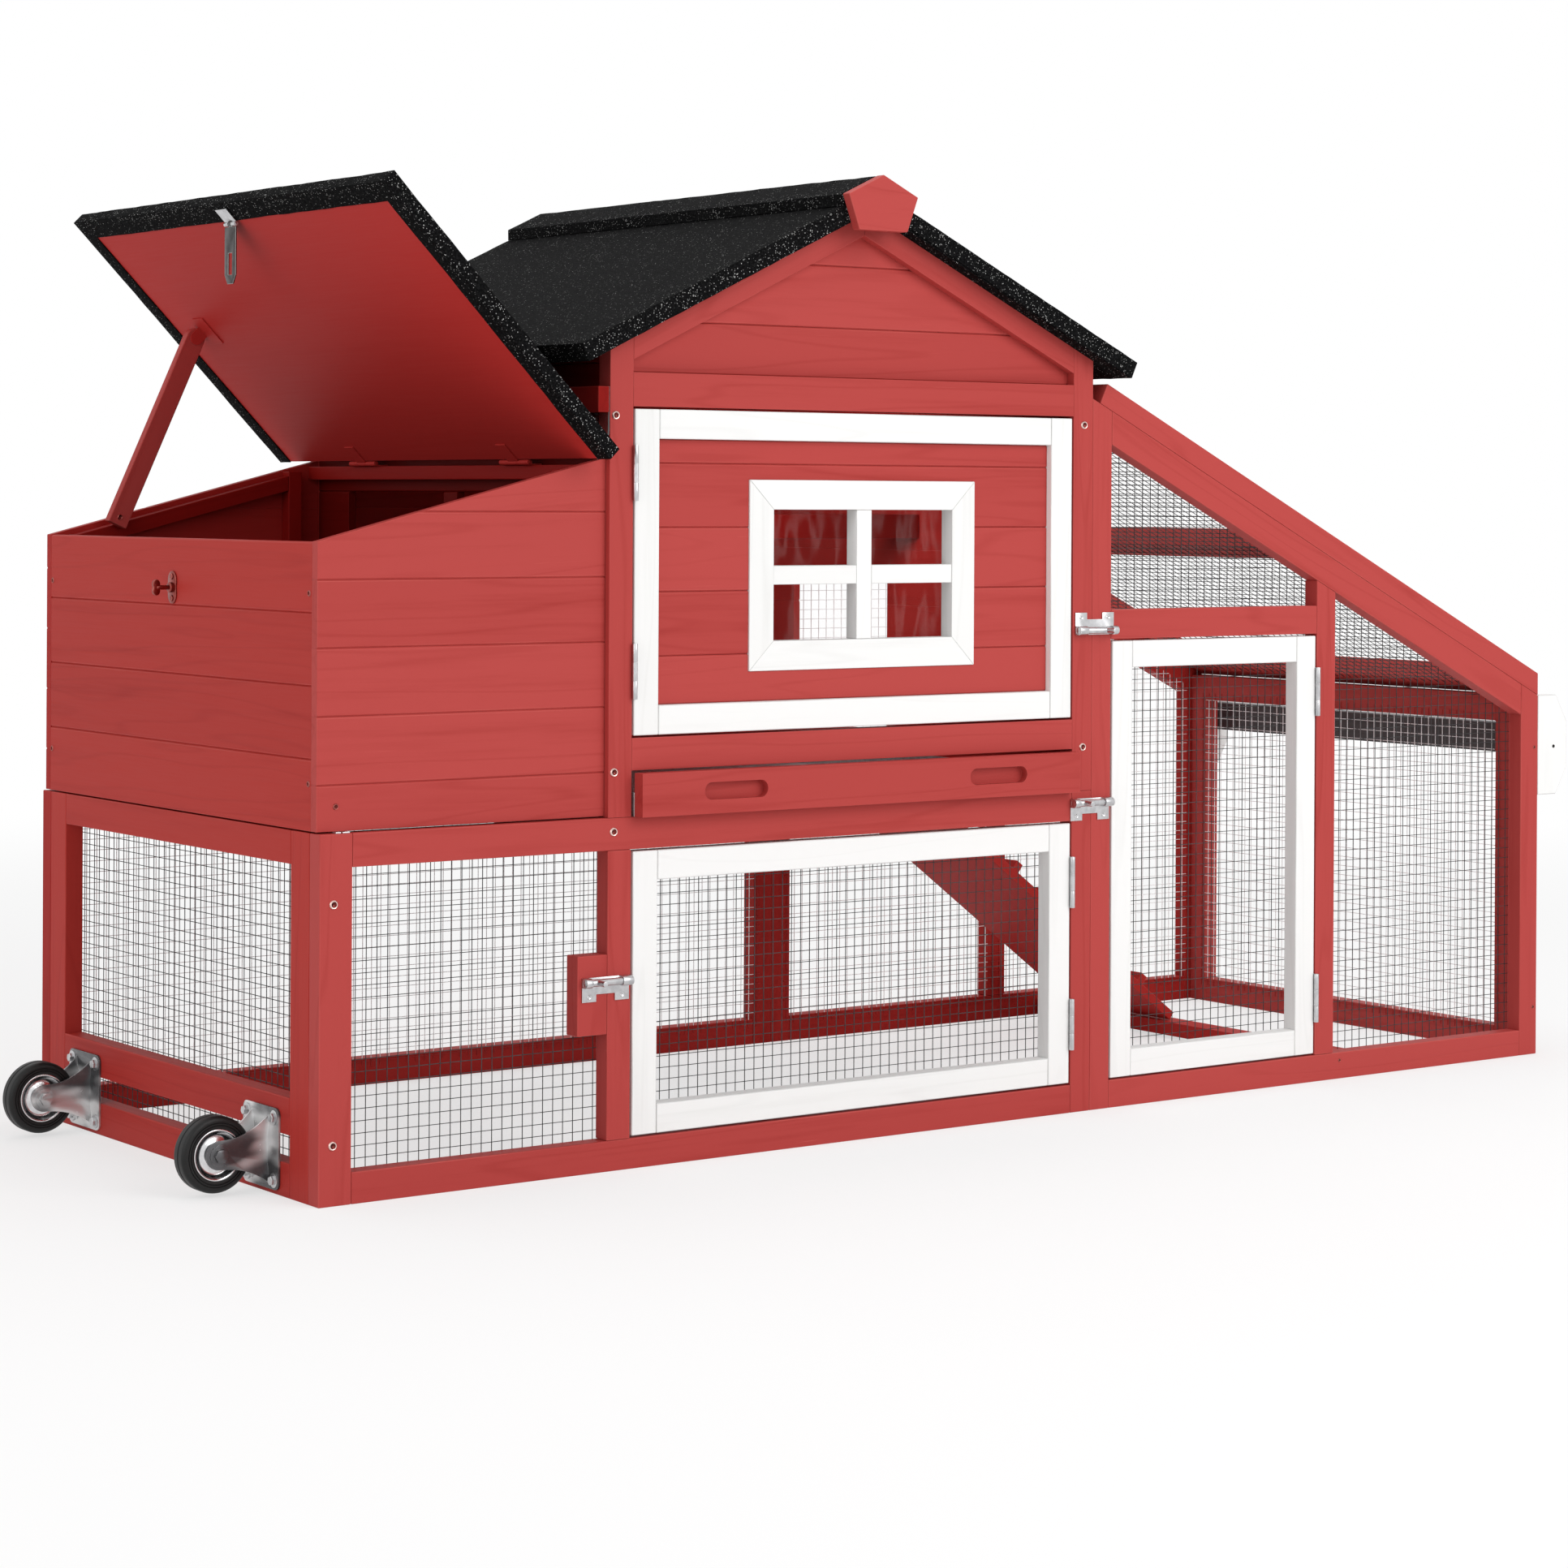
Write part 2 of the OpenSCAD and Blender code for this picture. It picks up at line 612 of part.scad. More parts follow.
// Lid hinge line, on the line of the nest wall tops
lid_hinge_set = 18;
hinge_x = house_x - lid_hinge_set;
hinge_z = nest_z(hinge_x) + slip;
leaf_t = 1.5;
barrel_r = 3;
hinge_rail_w = 14;
hinge_rail_h = 16;
hinge_rail_top = hinge_z - barrel_r;
flap_batten_t = 14;
flap_batten_h = 28;
flap_batten_drop = 80;
flap_batten_z = house_h - flap_batten_drop;
batten_drop = 6;
module nest_battens() color(paint_red) place() {
    flap_x = house_x - flap_t - 2 * seam;
    x0 = nest_t + seam;
    x1 = house_x - hinge_rail_w - 2 * batten;
    y0 = nest_in_y0 + seam;
    y1 = nest_in_y0 + batten;
    z0 = base_h + nest_floor_t + 2 * seam;
    low_top = nest_z(nest_t) - batten_drop;
    for (back = [0, 1]) translate([0, back * base_w, 0]) mirror([0, back, 0]) {
        along_y(y0, y1) polygon([
            [x0, low_top], [x1, nest_z(x1) - batten_drop],
            [x1, nest_z(x1) - batten_drop - batten], [x0, low_top - batten]
        ]);
        slab([x0, y0, z0], [nest_t + batten, y1, low_top - batten - seam]);
        slab([x1 + seam, y0, z0], [x1 + batten, y1, hinge_rail_top - batten_drop]);
    }
    slab([house_x - hinge_rail_w, nest_in_y0 + seam, hinge_rail_top - hinge_rail_h],
        [house_x - seam, nest_in_y1 - seam, hinge_rail_top]);
    slab([flap_x - flap_batten_t, 0, flap_batten_z], [flap_x, base_w, flap_batten_z + flap_batten_h]);
}

// Clear strip that hangs over the hinge gap, held by its batten and bent out at the foot
flap_t = 0.8;
flap_straight = 18;
flap_bend_r = 24;
flap_bend = 42;
module rain_flap() color(clear_film) place() {
    x = house_x - seam - flap_t;
    z = flap_batten_z - flap_straight;
    steps = 6;
    arc = [for (i = [0:steps]) i * flap_bend / steps];
    outer = [for (a = arc) [x - flap_bend_r * (1 - cos(a)), z - flap_bend_r * sin(a)]];
    r = flap_bend_r + flap_t;
    inner = [for (i = [steps:-1:0]) [x + flap_t - r * (1 - cos(arc[i])), z - r * sin(arc[i])]];
    top = flap_batten_z + flap_batten_h - slip;
    along_y(seam, base_w - seam) polygon(concat([[x, top]], outer, inner, [[x + flap_t, top]]));
}

perch_rise = 310;
perch_z = base_h + perch_rise;
module perch() color(paint_red) place()
    slab([house_x + board_t + seam, mid_y - perch_w / 2, perch_z - perch_w / 2],
        [house_x1 - board_t - 2 * seam, mid_y + perch_w / 2, perch_z + perch_w / 2]);

// Ramp: a board with cross treads, from under the pop hole to a rail across the floor of the run
ramp_t = 12;
ramp_tread = 12;
ramp_tread_step = 68;
ramp_top_drop = 44;
ramp_top_z = tray_top - ramp_top_drop;
ramp_rail_lift = 4;
ramp_rail_w = 33;
ramp_rail_set = 13;
ramp_rail_top = net_low - 2 * slip;
ramp_l = (ramp_top_z - ramp_t * cos(ramp_pitch) - ramp_rail_top - slip) / sin(ramp_pitch);
ramp_x = house_x1 + ramp_t * sin(ramp_pitch) + slip;
ramp_foot_x = ramp_x + ramp_l * cos(ramp_pitch) - ramp_t * sin(ramp_pitch);
module ramp() color(paint_red) place() {
    y0 = (pop_y0 + pop_y1 - ramp_w) / 2;
    y1 = y0 + ramp_w;
    rail_x = ramp_foot_x - ramp_rail_set;
    treads = floor(ramp_l / ramp_tread_step);
    translate([ramp_x, 0, ramp_top_z]) rotate([0, ramp_pitch, 0]) {
        slab([0, y0, -ramp_t], [ramp_l, y1, 0]);
        for (i = [1:treads]) {
            x = (i - 1 / 2) * ramp_tread_step;
            slab([x, y0, 0], [x + ramp_tread, y1, ramp_tread]);
        }
    }
    slab([rail_x, frame_t + seam, ramp_rail_lift],
        [rail_x + ramp_rail_w, base_w - frame_t - seam, ramp_rail_top]);
}

runner_w = 20;
runner_h = 28;
module tray_runners() color(paint_red) place() for (x = [door_x0, door_x1 - runner_w])
    slab([x, frame_t + seam, base_h - runner_h], [x + runner_w, base_w - frame_t - net_stack, base_h]);

// Carrying handle: two chamfered cheeks and a bar between them
handle_chamfer_x = 20;
handle_chamfer_z = 35;
handle_bar_rise = 51;
handle_bar_z = run_low - handle_plate_h + handle_bar_rise;
handle_bar_out = 16;
module carry_handle() color(paint_white) place() {
    x1 = base_l + handle_out;
    z1 = run_low;
    z0 = z1 - handle_plate_h;
    for (y = [0, base_w - handle_plate_t]) along_y(y, y + handle_plate_t) polygon([
        [base_l + seam, z0], [x1 - handle_chamfer_x, z0], [x1, z0 + handle_chamfer_z],
        [x1, z1 - handle_chamfer_z], [x1 - handle_chamfer_x, z1], [base_l + seam, z1]
    ]);
    bar_x = base_l + handle_bar_out;
    slab([bar_x, handle_plate_t + seam, handle_bar_z],
        [bar_x + handle_bar_t, base_w - handle_plate_t - seam, handle_bar_z + handle_bar_h]);
}

// Barrel bolts: drawn along +X from the plate's back end, the bolt shoots towards +X

bolt_plate_l = 60;
bolt_plate_rise = 21;
bolt_notch_h = 8;
bolt_plate_t = 1.2;
bolt_r = 4;
bolt_y = -7;
bolt_wall = 1.2;
bolt_guide_r = bolt_r + pin_play + bolt_wall;
bolt_front_guide_l = 13;
bolt_back_guide_l = 8;
bolt_l = 60;
bolt_throw = 26;
bolt_knob_back = 44;
bolt_knob_r = 3;
bolt_knob_l = 12;
// Places of the plates: x of the nose end, height, which way the bolt shoots, which way the tabs point
house_bolt_rise = 105;
house_bolt_z = door_z0 + house_bolt_rise;
run_bolt_drop = 14;
run_bolt_z = base_h - run_bolt_drop;
bolt_nose_gap = 3;
module at_bolt(x, z, way, tabs) translate([x, 0, z]) mirror([way < 0 ? 1 : 0, 0, 0])
    mirror([0, 0, tabs < 0 ? 1 : 0]) children();
module at_house_bolt() at_bolt(door_x1 + bolt_nose_gap, house_bolt_z, -1, 1) children();
module at_run_bolt() at_bolt(run_x0 - bolt_nose_gap, run_bolt_z, 1, -1) children();
module at_lower_bolt() at_bolt(door_x0 - bolt_nose_gap, lower_bolt_z, 1, -1) children();
module bolt_plate() difference() {
    union() {
        slab([-bolt_plate_l, -bolt_plate_t - slip, -bolt_guide_r], [0, -slip, bolt_plate_rise]);
        for (x = [[-bolt_front_guide_l, 0], [-bolt_plate_l, bolt_back_guide_l - bolt_plate_l]]) {
            translate([0, bolt_y, 0]) rod_x(x[0], x[1], bolt_guide_r);
            slab([x[0], bolt_y, -bolt_guide_r], [x[1], -slip, bolt_guide_r]);
        }
    }
    translate([0, bolt_y, 0]) rod_x(-bolt_plate_l - cut, cut, bolt_r + pin_play);
    slab([-bolt_plate_l * 7 / 10, -bolt_plate_t - cut, bolt_plate_rise - bolt_notch_h],
        [-bolt_plate_l * 3 / 10, cut, bolt_plate_rise + cut]);
}
module bolt() {
    translate([0, bolt_y, 0]) rod_x(-bolt_l, 0, bolt_r);
    translate([-bolt_knob_back, 0, 0]) rod_y(bolt_y - bolt_r - bolt_knob_l, bolt_y, bolt_knob_r);
}
module bolt_plates() color(zinc) place() {
    at_house_bolt() bolt_plate();
    at_run_bolt() bolt_plate();
    at_lower_bolt() bolt_plate();
}
module house_bolt() color(zinc) place() at_house_bolt() bolt();
module run_bolt() color(zinc) place() at_run_bolt() bolt();
module lower_bolt() color(zinc) place() at_lower_bolt() bolt();

// Butt hinges: the barrel stands along Z at the origin, the door lies towards +X

butt_h = 60;
butt_leaf_t = 1;
butt_leaf_w = 18;
butt_pin_r = 1.5;
knuckle_h = butt_h / 3;
hinge_out = 3.5;
butt_axis_gap = door_gap / 2;
module knuckle(z0, z1, r, side) {
    difference() {
        union() {
            translate([0, 0, z0]) cylinder(h = z1 - z0, r = r);
            slab([side > 0 ? slip / 2 : -slip / 2 - butt_leaf_t, 0, z0],
                [side > 0 ? slip / 2 + butt_leaf_t : -slip / 2, hinge_out + slip + cut, z1]);
        }
        translate([0, 0, z0 - cut]) cylinder(h = z1 - z0 + 2 * cut, r = butt_pin_r + pin_play);
    }
}
module butt_plate(side) {
    x0 = side > 0 ? slip / 2 : -slip / 2 - butt_leaf_t;
    slab([x0, hinge_out + slip, 0], [x0 + butt_leaf_t, hinge_out + butt_leaf_w, butt_h]);
}
module butt_fixed() {
    knuckle(0, knuckle_h - slip, barrel_r, -1);
    knuckle(2 * knuckle_h + slip, butt_h, barrel_r, -1);
    butt_plate(-1);
    translate([0, 0, -slip]) cylinder(h = butt_h + 2 * slip, r = butt_pin_r);
}
module butt_moving() {
    knuckle(knuckle_h, 2 * knuckle_h, barrel_r, 1);
    butt_plate(1);
}

// Where each door hangs: side of its hinge line, and the heights of its hinges
butt_end = 42;
module at_hinges(x, way, z0, z1) for (z = [z0 + butt_end, z1 - butt_end - butt_h])
    translate([x, -hinge_out, z]) mirror([way < 0 ? 1 : 0, 0, 0]) children();
lower_z0 = foot_rail_h;
lower_z1 = base_h - head_rail_h;
module at_house_hinges() at_hinges(door_x0 + butt_axis_gap, 1, door_z0, door_z1) children();
module at_lower_hinges() at_hinges(door_x1 - butt_axis_gap, -1, lower_z0, lower_z1) children();
module at_run_hinges() at_hinges(run_mid_x0 - butt_axis_gap, -1, foot_rail_h, run_doorway_top) children();

// Lid hinges lie along Y on the hinge line
lid_hinge_l = 60;
lid_leaf_w = 28;
lid_fixed_leaf_w = 16;
lid_hinge_share = 0.2;
lid_hinge_ys = [base_w * lid_hinge_share, base_w * (1 - lid_hinge_share) - lid_hinge_l];
lid_knuckle = lid_hinge_l / 3;
module at_lid_line() translate([hinge_x, 0, hinge_z]) children();
module lid_barrel(y0, y1) difference() {
    children();
    rod_y(y0 - cut, y1 + cut, butt_pin_r + pin_play);
}
module lid_hinge_fixed() at_lid_line() for (y = lid_hinge_ys) {
    for (part = [[y, y + lid_knuckle - slip], [y + 2 * lid_knuckle + slip, y + lid_hinge_l]])
        lid_barrel(part[0], part[1]) {
            union() {
                rod_y(part[0], part[1], barrel_r);
                slab([0, part[0], -barrel_r], [lid_fixed_leaf_w, part[1], -barrel_r + leaf_t]);
            }
        }
    rod_y(y - slip, y + lid_hinge_l + slip, butt_pin_r);
}
module hinge_leaves() color(zinc) place() {
    at_house_hinges() butt_fixed();
    at_lower_hinges() butt_fixed();
    at_run_hinges() butt_fixed();
    lid_hinge_fixed();
}

// Casters: a round-cornered plate on the end rails, two flared cheeks and an axle bolt

caster_plate_w = 78;
caster_plate_h = 85;
caster_plate_t = 2.5;
caster_plate_z = 5;
caster_round = 8;
caster_share = 0.18;
caster_ys = [base_w * caster_share, base_w * (1 - caster_share)];
cheek_t = 2.5;
cheek_gap = 1;
cheek_end_r = 15;
cheek_root_in = 4;
cheek_sweep = 2.4;
cheek_steps = 8;
axle_z = wheel_r + wheel_lift;
axle_head_r = 7.5;
axle_head_t = 5;
axle_washer_r = 11;
axle_washer_t = 1.5;

// A cheek's edge sweeps from the plate, at share 0, to the axle, at share 1
function cheek_edge(root_z, end_z, share) =
    [-max(seam, axle_out * share), end_z + (root_z - end_z) * pow(1 - share, cheek_sweep)];
module caster_cheek(y) difference() {
    root_low = caster_plate_z + cheek_root_in;
    root_high = caster_plate_z + caster_plate_h - cheek_root_in;
    union() {
        along_y(y, y + cheek_t) polygon(concat(
            [for (i = [0 : cheek_steps]) cheek_edge(root_high, axle_z + cheek_end_r, i / cheek_steps)],
            [for (i = [cheek_steps : -1 : 0]) cheek_edge(root_low, axle_z - cheek_end_r, i / cheek_steps)]
        ));
        translate([-axle_out, 0, axle_z]) rod_y(y, y + cheek_t, cheek_end_r);
    }
    translate([-axle_out, 0, axle_z]) rod_y(y - cut, y + cheek_t + cut, axle_d / 2 + pin_play);
}
module casters() color(zinc) place() for (y = caster_ys) {
    inner = wheel_w / 2 + cheek_gap;
    outer = inner + cheek_t + axle_washer_t;
    along_x(-caster_plate_t, -seam)
        translate([y - caster_plate_w / 2 + caster_round, caster_plate_z + caster_round])
            offset(r = caster_round)
                square([caster_plate_w - 2 * caster_round, caster_plate_h - 2 * caster_round]);
    caster_cheek(y + inner);
    caster_cheek(y - inner - cheek_t);
    translate([-axle_out, 0, axle_z]) {
        rod_y(y - outer, y + outer, axle_d / 2);
        rod_y(y - outer, y - inner - cheek_t, axle_washer_r);
        rod_y(y + inner + cheek_t, y + outer, axle_washer_r);
        for (end = [y - outer - axle_head_t, y + outer])
            translate([0, end, 0]) rotate([-90, 0, 0]) cylinder(h = axle_head_t, r = axle_head_r, $fn = 6);
    }
}

// Wheels turn about Y: a pressed hub inside a rubber tyre
hub_r = 27;
tyre_round = 6;
hub_dish = 5;
hub_boss_r = 10;
module at_wheel(y) translate([-axle_out, y, axle_z]) rotate([-90, 0, 0]) children();
module tyre(y) at_wheel(y) rotate_extrude() polygon([
    [hub_r + pin_play, -wheel_w / 2], [wheel_r - tyre_round, -wheel_w / 2],
    [wheel_r, tyre_round - wheel_w / 2], [wheel_r, wheel_w / 2 - tyre_round],
    [wheel_r - tyre_round, wheel_w / 2], [hub_r + pin_play, wheel_w / 2]
]);
module hub(y) at_wheel(y) rotate_extrude() polygon([
    [axle_d / 2 + pin_play, -wheel_w / 2], [hub_boss_r, -wheel_w / 2], [hub_boss_r, hub_dish - wheel_w / 2],
    [hub_r - hub_dish, hub_dish - wheel_w / 2], [hub_r, -wheel_w / 2], [hub_r, wheel_w / 2],
    [hub_r - hub_dish, wheel_w / 2 - hub_dish], [hub_boss_r, wheel_w / 2 - hub_dish],
    [hub_boss_r, wheel_w / 2], [axle_d / 2 + pin_play, wheel_w / 2]
]);
module front_tyre() color(tyre_black) place() tyre(caster_ys[0]);
module front_hub() color(zinc) place() hub(caster_ys[0]);
module rear_tyre() color(tyre_black) place() tyre(caster_ys[1]);
module rear_hub() color(zinc) place() hub(caster_ys[1]);

// Nest lid, drawn level from its hinge line towards -X and tipped up to its rest angle

module at_lid() at_lid_line() rotate([0, lid_rest, 0]) children();
lid_hinge_gap = 4;
lid_y0 = -lid_over;
lid_y1 = base_w + lid_over;
felt_under = 1.8;
module nest_lid() color(paint_red) place() at_lid()
    slab([-lid_l, lid_y0, 0], [-lid_hinge_gap, lid_y1, lid_t]);
module lid_felt() color(felt_black) place() at_lid() difference() {
    slab([-lid_l - felt_t, lid_y0 - felt_t, -felt_under], [-lid_hinge_gap, lid_y1 + felt_t, lid_t + felt_t]);
    slab([-lid_l, lid_y0, 0], [cut, lid_y1, lid_t]);
    slab([-lid_l + felt_margin, lid_y0 + felt_margin, -felt_under - cut], [cut, lid_y1 - felt_margin, cut]);
}

// Hasp under the free edge: a leaf on the felt margin, a pin, and the strap that hangs from it
hasp_w = 26;
hasp_leaf_l = 20;
hasp_axis_u = 371;
hasp_axis_v = -5;
hasp_barrel_r = 2.6;
hasp_pin_r = 1.4;
hasp_strap_l = 66;
hasp_strap_t = 1.6;
hasp_slot_from = 32;
hasp_slot_l = 24;
hasp_slot_w = 9;
hasp_knuckle = hasp_w / 3;

// Prop bracket: a plate under the lid with one ear, and the pin that the stick hangs on
prop_u = 219;
prop_w = 24;
prop_t = 12;
prop_v = -(prop_w / 2 + slip * 2);
prop_y0 = nest_in_y1 - batten - prop_t - 2 * slip;
prop_ear_t = 1.6;
prop_pin_r = 2;
prop_plate_l = 40;
prop_plate_w = 24;
prop_ear_r = 8;
module lid_fittings() color(zinc) place() at_lid() {
    for (y = lid_hinge_ys) lid_barrel(y, y + lid_hinge_l) {
        union() {
            rod_y(y + lid_knuckle, y + 2 * lid_knuckle, barrel_r);
            slab([-lid_leaf_w, y + lid_knuckle, -leaf_t - slip / 2], [0, y + 2 * lid_knuckle, -slip / 2]);
        }
    }
    translate([-hasp_axis_u, mid_y, hasp_axis_v]) difference() {
        union() {
            for (side = [-1, 1]) {
                y = side > 0 ? hasp_w / 2 - hasp_knuckle : -hasp_w / 2;
                rod_y(y, y + hasp_knuckle - slip, hasp_barrel_r);
                slab([-hasp_leaf_l, y, hasp_barrel_r - leaf_t], [0, y + hasp_knuckle - slip, hasp_barrel_r]);
            }
            slab([-hasp_leaf_l, -hasp_w / 2, hasp_barrel_r - leaf_t],
                [-hasp_barrel_r - slip, hasp_w / 2 - slip, hasp_barrel_r]);
        }
        rod_y(-hasp_w, hasp_w, hasp_pin_r + pin_play);
    }
    slab([-prop_u - prop_plate_l / 2, prop_y0 - slip - prop_ear_t - prop_plate_w, -leaf_t - slip / 2],
        [-prop_u + prop_plate_l / 2, prop_y0 - slip, -slip / 2]);
    slab([-prop_u - prop_ear_r, prop_y0 - slip - prop_ear_t, prop_v],
        [-prop_u + prop_ear_r, prop_y0 - slip, -slip / 2]);
    translate([-prop_u, 0, prop_v]) {
        rod_y(prop_y0 - slip - prop_ear_t, prop_y0 - slip, prop_ear_r);
        rod_y(prop_y0 - slip, prop_y0 + prop_t, prop_pin_r);
    }
}
module hasp_pin() color(zinc) place() at_lid() translate([-hasp_axis_u, mid_y, hasp_axis_v])
    rod_y(-hasp_w / 2 - slip, hasp_w / 2 + slip, hasp_pin_r);

// Rest places on the lid, as turned with it
function on_lid(u, v) = [
    hinge_x - u * cos(lid_rest) + v * sin(lid_rest), hinge_z + u * sin(lid_rest) + v * cos(lid_rest)
];
hasp_at = on_lid(hasp_axis_u, hasp_axis_v);
hasp_point = 10;
module hasp_strap() color(zinc) place() translate([hasp_at[0], mid_y, hasp_at[1]]) difference() {
    union() {
        rod_y(slip - hasp_knuckle / 2, hasp_knuckle / 2 - slip, hasp_barrel_r);
        slab([-hasp_strap_t / 2, slip - hasp_knuckle / 2, -hasp_barrel_r - slip * 4],
            [hasp_strap_t / 2, hasp_knuckle / 2 - slip, -hasp_pin_r]);
        along_x(-hasp_strap_t / 2, hasp_strap_t / 2) polygon([
            [-hasp_w / 2, -hasp_barrel_r - slip * 2], [hasp_w / 2, -hasp_barrel_r - slip * 2],
            [hasp_w / 2, hasp_point - hasp_strap_l], [hasp_w / 4, -hasp_strap_l],
            [-hasp_w / 4, -hasp_strap_l], [-hasp_w / 2, hasp_point - hasp_strap_l]
        ]);
    }
    rod_y(-hasp_w, hasp_w, hasp_pin_r + pin_play);
    slab([-hasp_strap_t, -hasp_slot_w / 2, -hasp_slot_from - hasp_slot_l],
        [hasp_strap_t, hasp_slot_w / 2, -hasp_slot_from]);
}
knob_l = 20;
knob_blade_t = 4;
knob_blade_l = 18;
knob_blade_w = 5;
module staple_knob() color(paint_red) place() translate([0, mid_y, staple_z]) {
    rod_x(-knob_l, -slip, staple_shank_r);
    slab([-knob_l - knob_blade_t, -knob_blade_w / 2, -knob_blade_l / 2],
        [-knob_l, knob_blade_w / 2, knob_blade_l / 2]);
}

// Prop stick: hangs on the bracket pin, its foot beside the back batten near the nest end
prop_at = on_lid(prop_u, prop_v);
prop_foot_in = 57;
prop_foot_x = nest_t + prop_foot_in;
prop_foot_z = nest_z(prop_foot_x) - batten_drop;
prop_l = norm([prop_at[0] - prop_foot_x, prop_at[1] - prop_foot_z]);
prop_lean = atan2(prop_at[0] - prop_foot_x, prop_at[1] - prop_foot_z);
module lid_prop() color(paint_red) place() translate([prop_at[0], 0, prop_at[1]]) rotate([0, prop_lean, 0])
    difference() {
        union() {
            rod_y(prop_y0, prop_y0 + prop_t, prop_w / 2);
            slab([-prop_w / 2, prop_y0, -prop_l], [prop_w / 2, prop_y0 + prop_t, 0]);
        }
        rod_y(prop_y0 - cut, prop_y0 + prop_t + cut, prop_pin_r + pin_play);
    }

// Doors

// Stiles and rails of one door
module door_members(x0, x1, z0, z1) {
    m = door_member;
    slab([x0, 0, z0], [x0 + m, door_t, z1]);
    slab([x1 - m, 0, z0], [x1, door_t, z1]);
    slab([x0 + m + seam, 0, z0], [x1 - m - seam, door_t, z0 + m]);
    slab([x0 + m + seam, 0, z1 - m], [x1 - m - seam, door_t, z1]);
}
module door_net(x0, x1, z0, z1) {
    m = door_member - net_lap;
    net_xz(x0 + m, x1 - m, z0 + m, z1 - m, door_t + net_gap);
}

panel_x0 = door_x0 + door_gap;
panel_x1 = door_x1 - door_gap;
panel_z0 = door_z0 + door_gap;
panel_z1 = door_z1 - door_gap;
module house_door_frame() {
    color(paint_white) place() door_members(panel_x0, panel_x1, panel_z0, panel_z1);
    color(zinc) place() at_house_hinges() butt_moving();
}

// Window: a mitred frame and a cross let into the door boards, with a clear sheet behind
window_shift = 7;
window_drop = 5;
window_x0 = ridge_x + window_shift - window_w / 2;
window_x1 = window_x0 + window_w;
window_z0 = (door_z0 + door_z1 - window_h) / 2 - window_drop;
window_z1 = window_z0 + window_h;
pane_x0 = window_x0 + window_member;
pane_x1 = window_x1 - window_member;
pane_z0 = window_z0 + window_member;
pane_z1 = window_z1 - window_member;
panel_board_y = 8;
panel_board_t = 8;
panel_board_back = panel_board_y + panel_board_t;
window_proud = 2;
window_d = 20;
window_y0 = panel_board_y - window_proud;
window_y1 = window_y0 + window_d;
module house_door_boards() color(paint_red) place() difference() {
    z_low = panel_z0 + door_member + seam;
    z_high = panel_z1 - door_member - seam;
    first = z_low + board_h * 3 / 4;
    rows = ceil((z_high - first) / board_h);
    for (i = [0:rows])
        along_x(panel_x0 + door_member + seam, panel_x1 - door_member - seam)
            board_section(panel_board_y, panel_board_back,
                i == 0 ? z_low : first + (i - 1) * board_h + seam, min(first + i * board_h, z_high));
    slab([window_x0 - seam, 0, window_z0 - seam], [window_x1 + seam, door_t + cut, window_z1 + seam]);
}
muntin_w = 21;
muntin_set = 1;
module window_side(from, to, in_to, in_from) along_y(window_y0, window_y1)
    polygon([from, to, in_to, in_from]);
module window_frame() color(paint_white) place() {
    s = seam / 2;
    x0 = window_x0;
    x1 = window_x1;
    z0 = window_z0;
    z1 = window_z1;
    muntin_x0 = (pane_x0 + pane_x1 - muntin_w) / 2;
    muntin_x1 = muntin_x0 + muntin_w;
    muntin_z0 = (pane_z0 + pane_z1 - muntin_w) / 2;
    muntin_y0 = window_y0 + muntin_set;
    window_side([x0 + s, z0], [x1 - s, z0], [pane_x1 - s, pane_z0], [pane_x0 + s, pane_z0]);
    window_side([x0 + s, z1], [x1 - s, z1], [pane_x1 - s, pane_z1], [pane_x0 + s, pane_z1]);
    window_side([x0, z0 + s], [x0, z1 - s], [pane_x0, pane_z1 - s], [pane_x0, pane_z0 + s]);
    window_side([x1, z0 + s], [x1, z1 - s], [pane_x1, pane_z1 - s], [pane_x1, pane_z0 + s]);
    slab([muntin_x0, muntin_y0, pane_z0 + seam], [muntin_x1, window_y1, pane_z1 - seam]);
    for (x = [[pane_x0 + seam, muntin_x0 - seam], [muntin_x1 + seam, pane_x1 - seam]])
        slab([x[0], muntin_y0, muntin_z0], [x[1], window_y1, muntin_z0 + muntin_w]);
}
pane_lap = 12;
pane_t = 1;
module window_pane() color(clear_film) place()
    slab([pane_x0 - pane_lap, window_y1 + seam, pane_z0 - pane_lap],
        [pane_x1 + pane_lap, window_y1 + seam + pane_t, pane_z1 + pane_lap]);

lower_door_z0 = lower_z0 + door_gap;
lower_door_z1 = lower_z1 - door_gap;
module lower_door_frame() {
    color(paint_white) place() door_members(panel_x0, panel_x1, lower_door_z0, lower_door_z1);
    color(zinc) place() at_lower_hinges() butt_moving();
}
module lower_door_net() color(wire_grey) place()
    door_net(panel_x0, panel_x1, lower_door_z0, lower_door_z1);

run_door_x0 = run_x0 + door_gap;
run_door_x1 = run_mid_x0 - door_gap;
run_door_z1 = run_doorway_top - door_gap;
module run_door_frame() {
    color(paint_white) place() door_members(run_door_x0, run_door_x1, lower_door_z0, run_door_z1);
    color(zinc) place() at_run_hinges() butt_moving();
}
module run_door_net() color(wire_grey) place()
    door_net(run_door_x0, run_door_x1, lower_door_z0, run_door_z1);

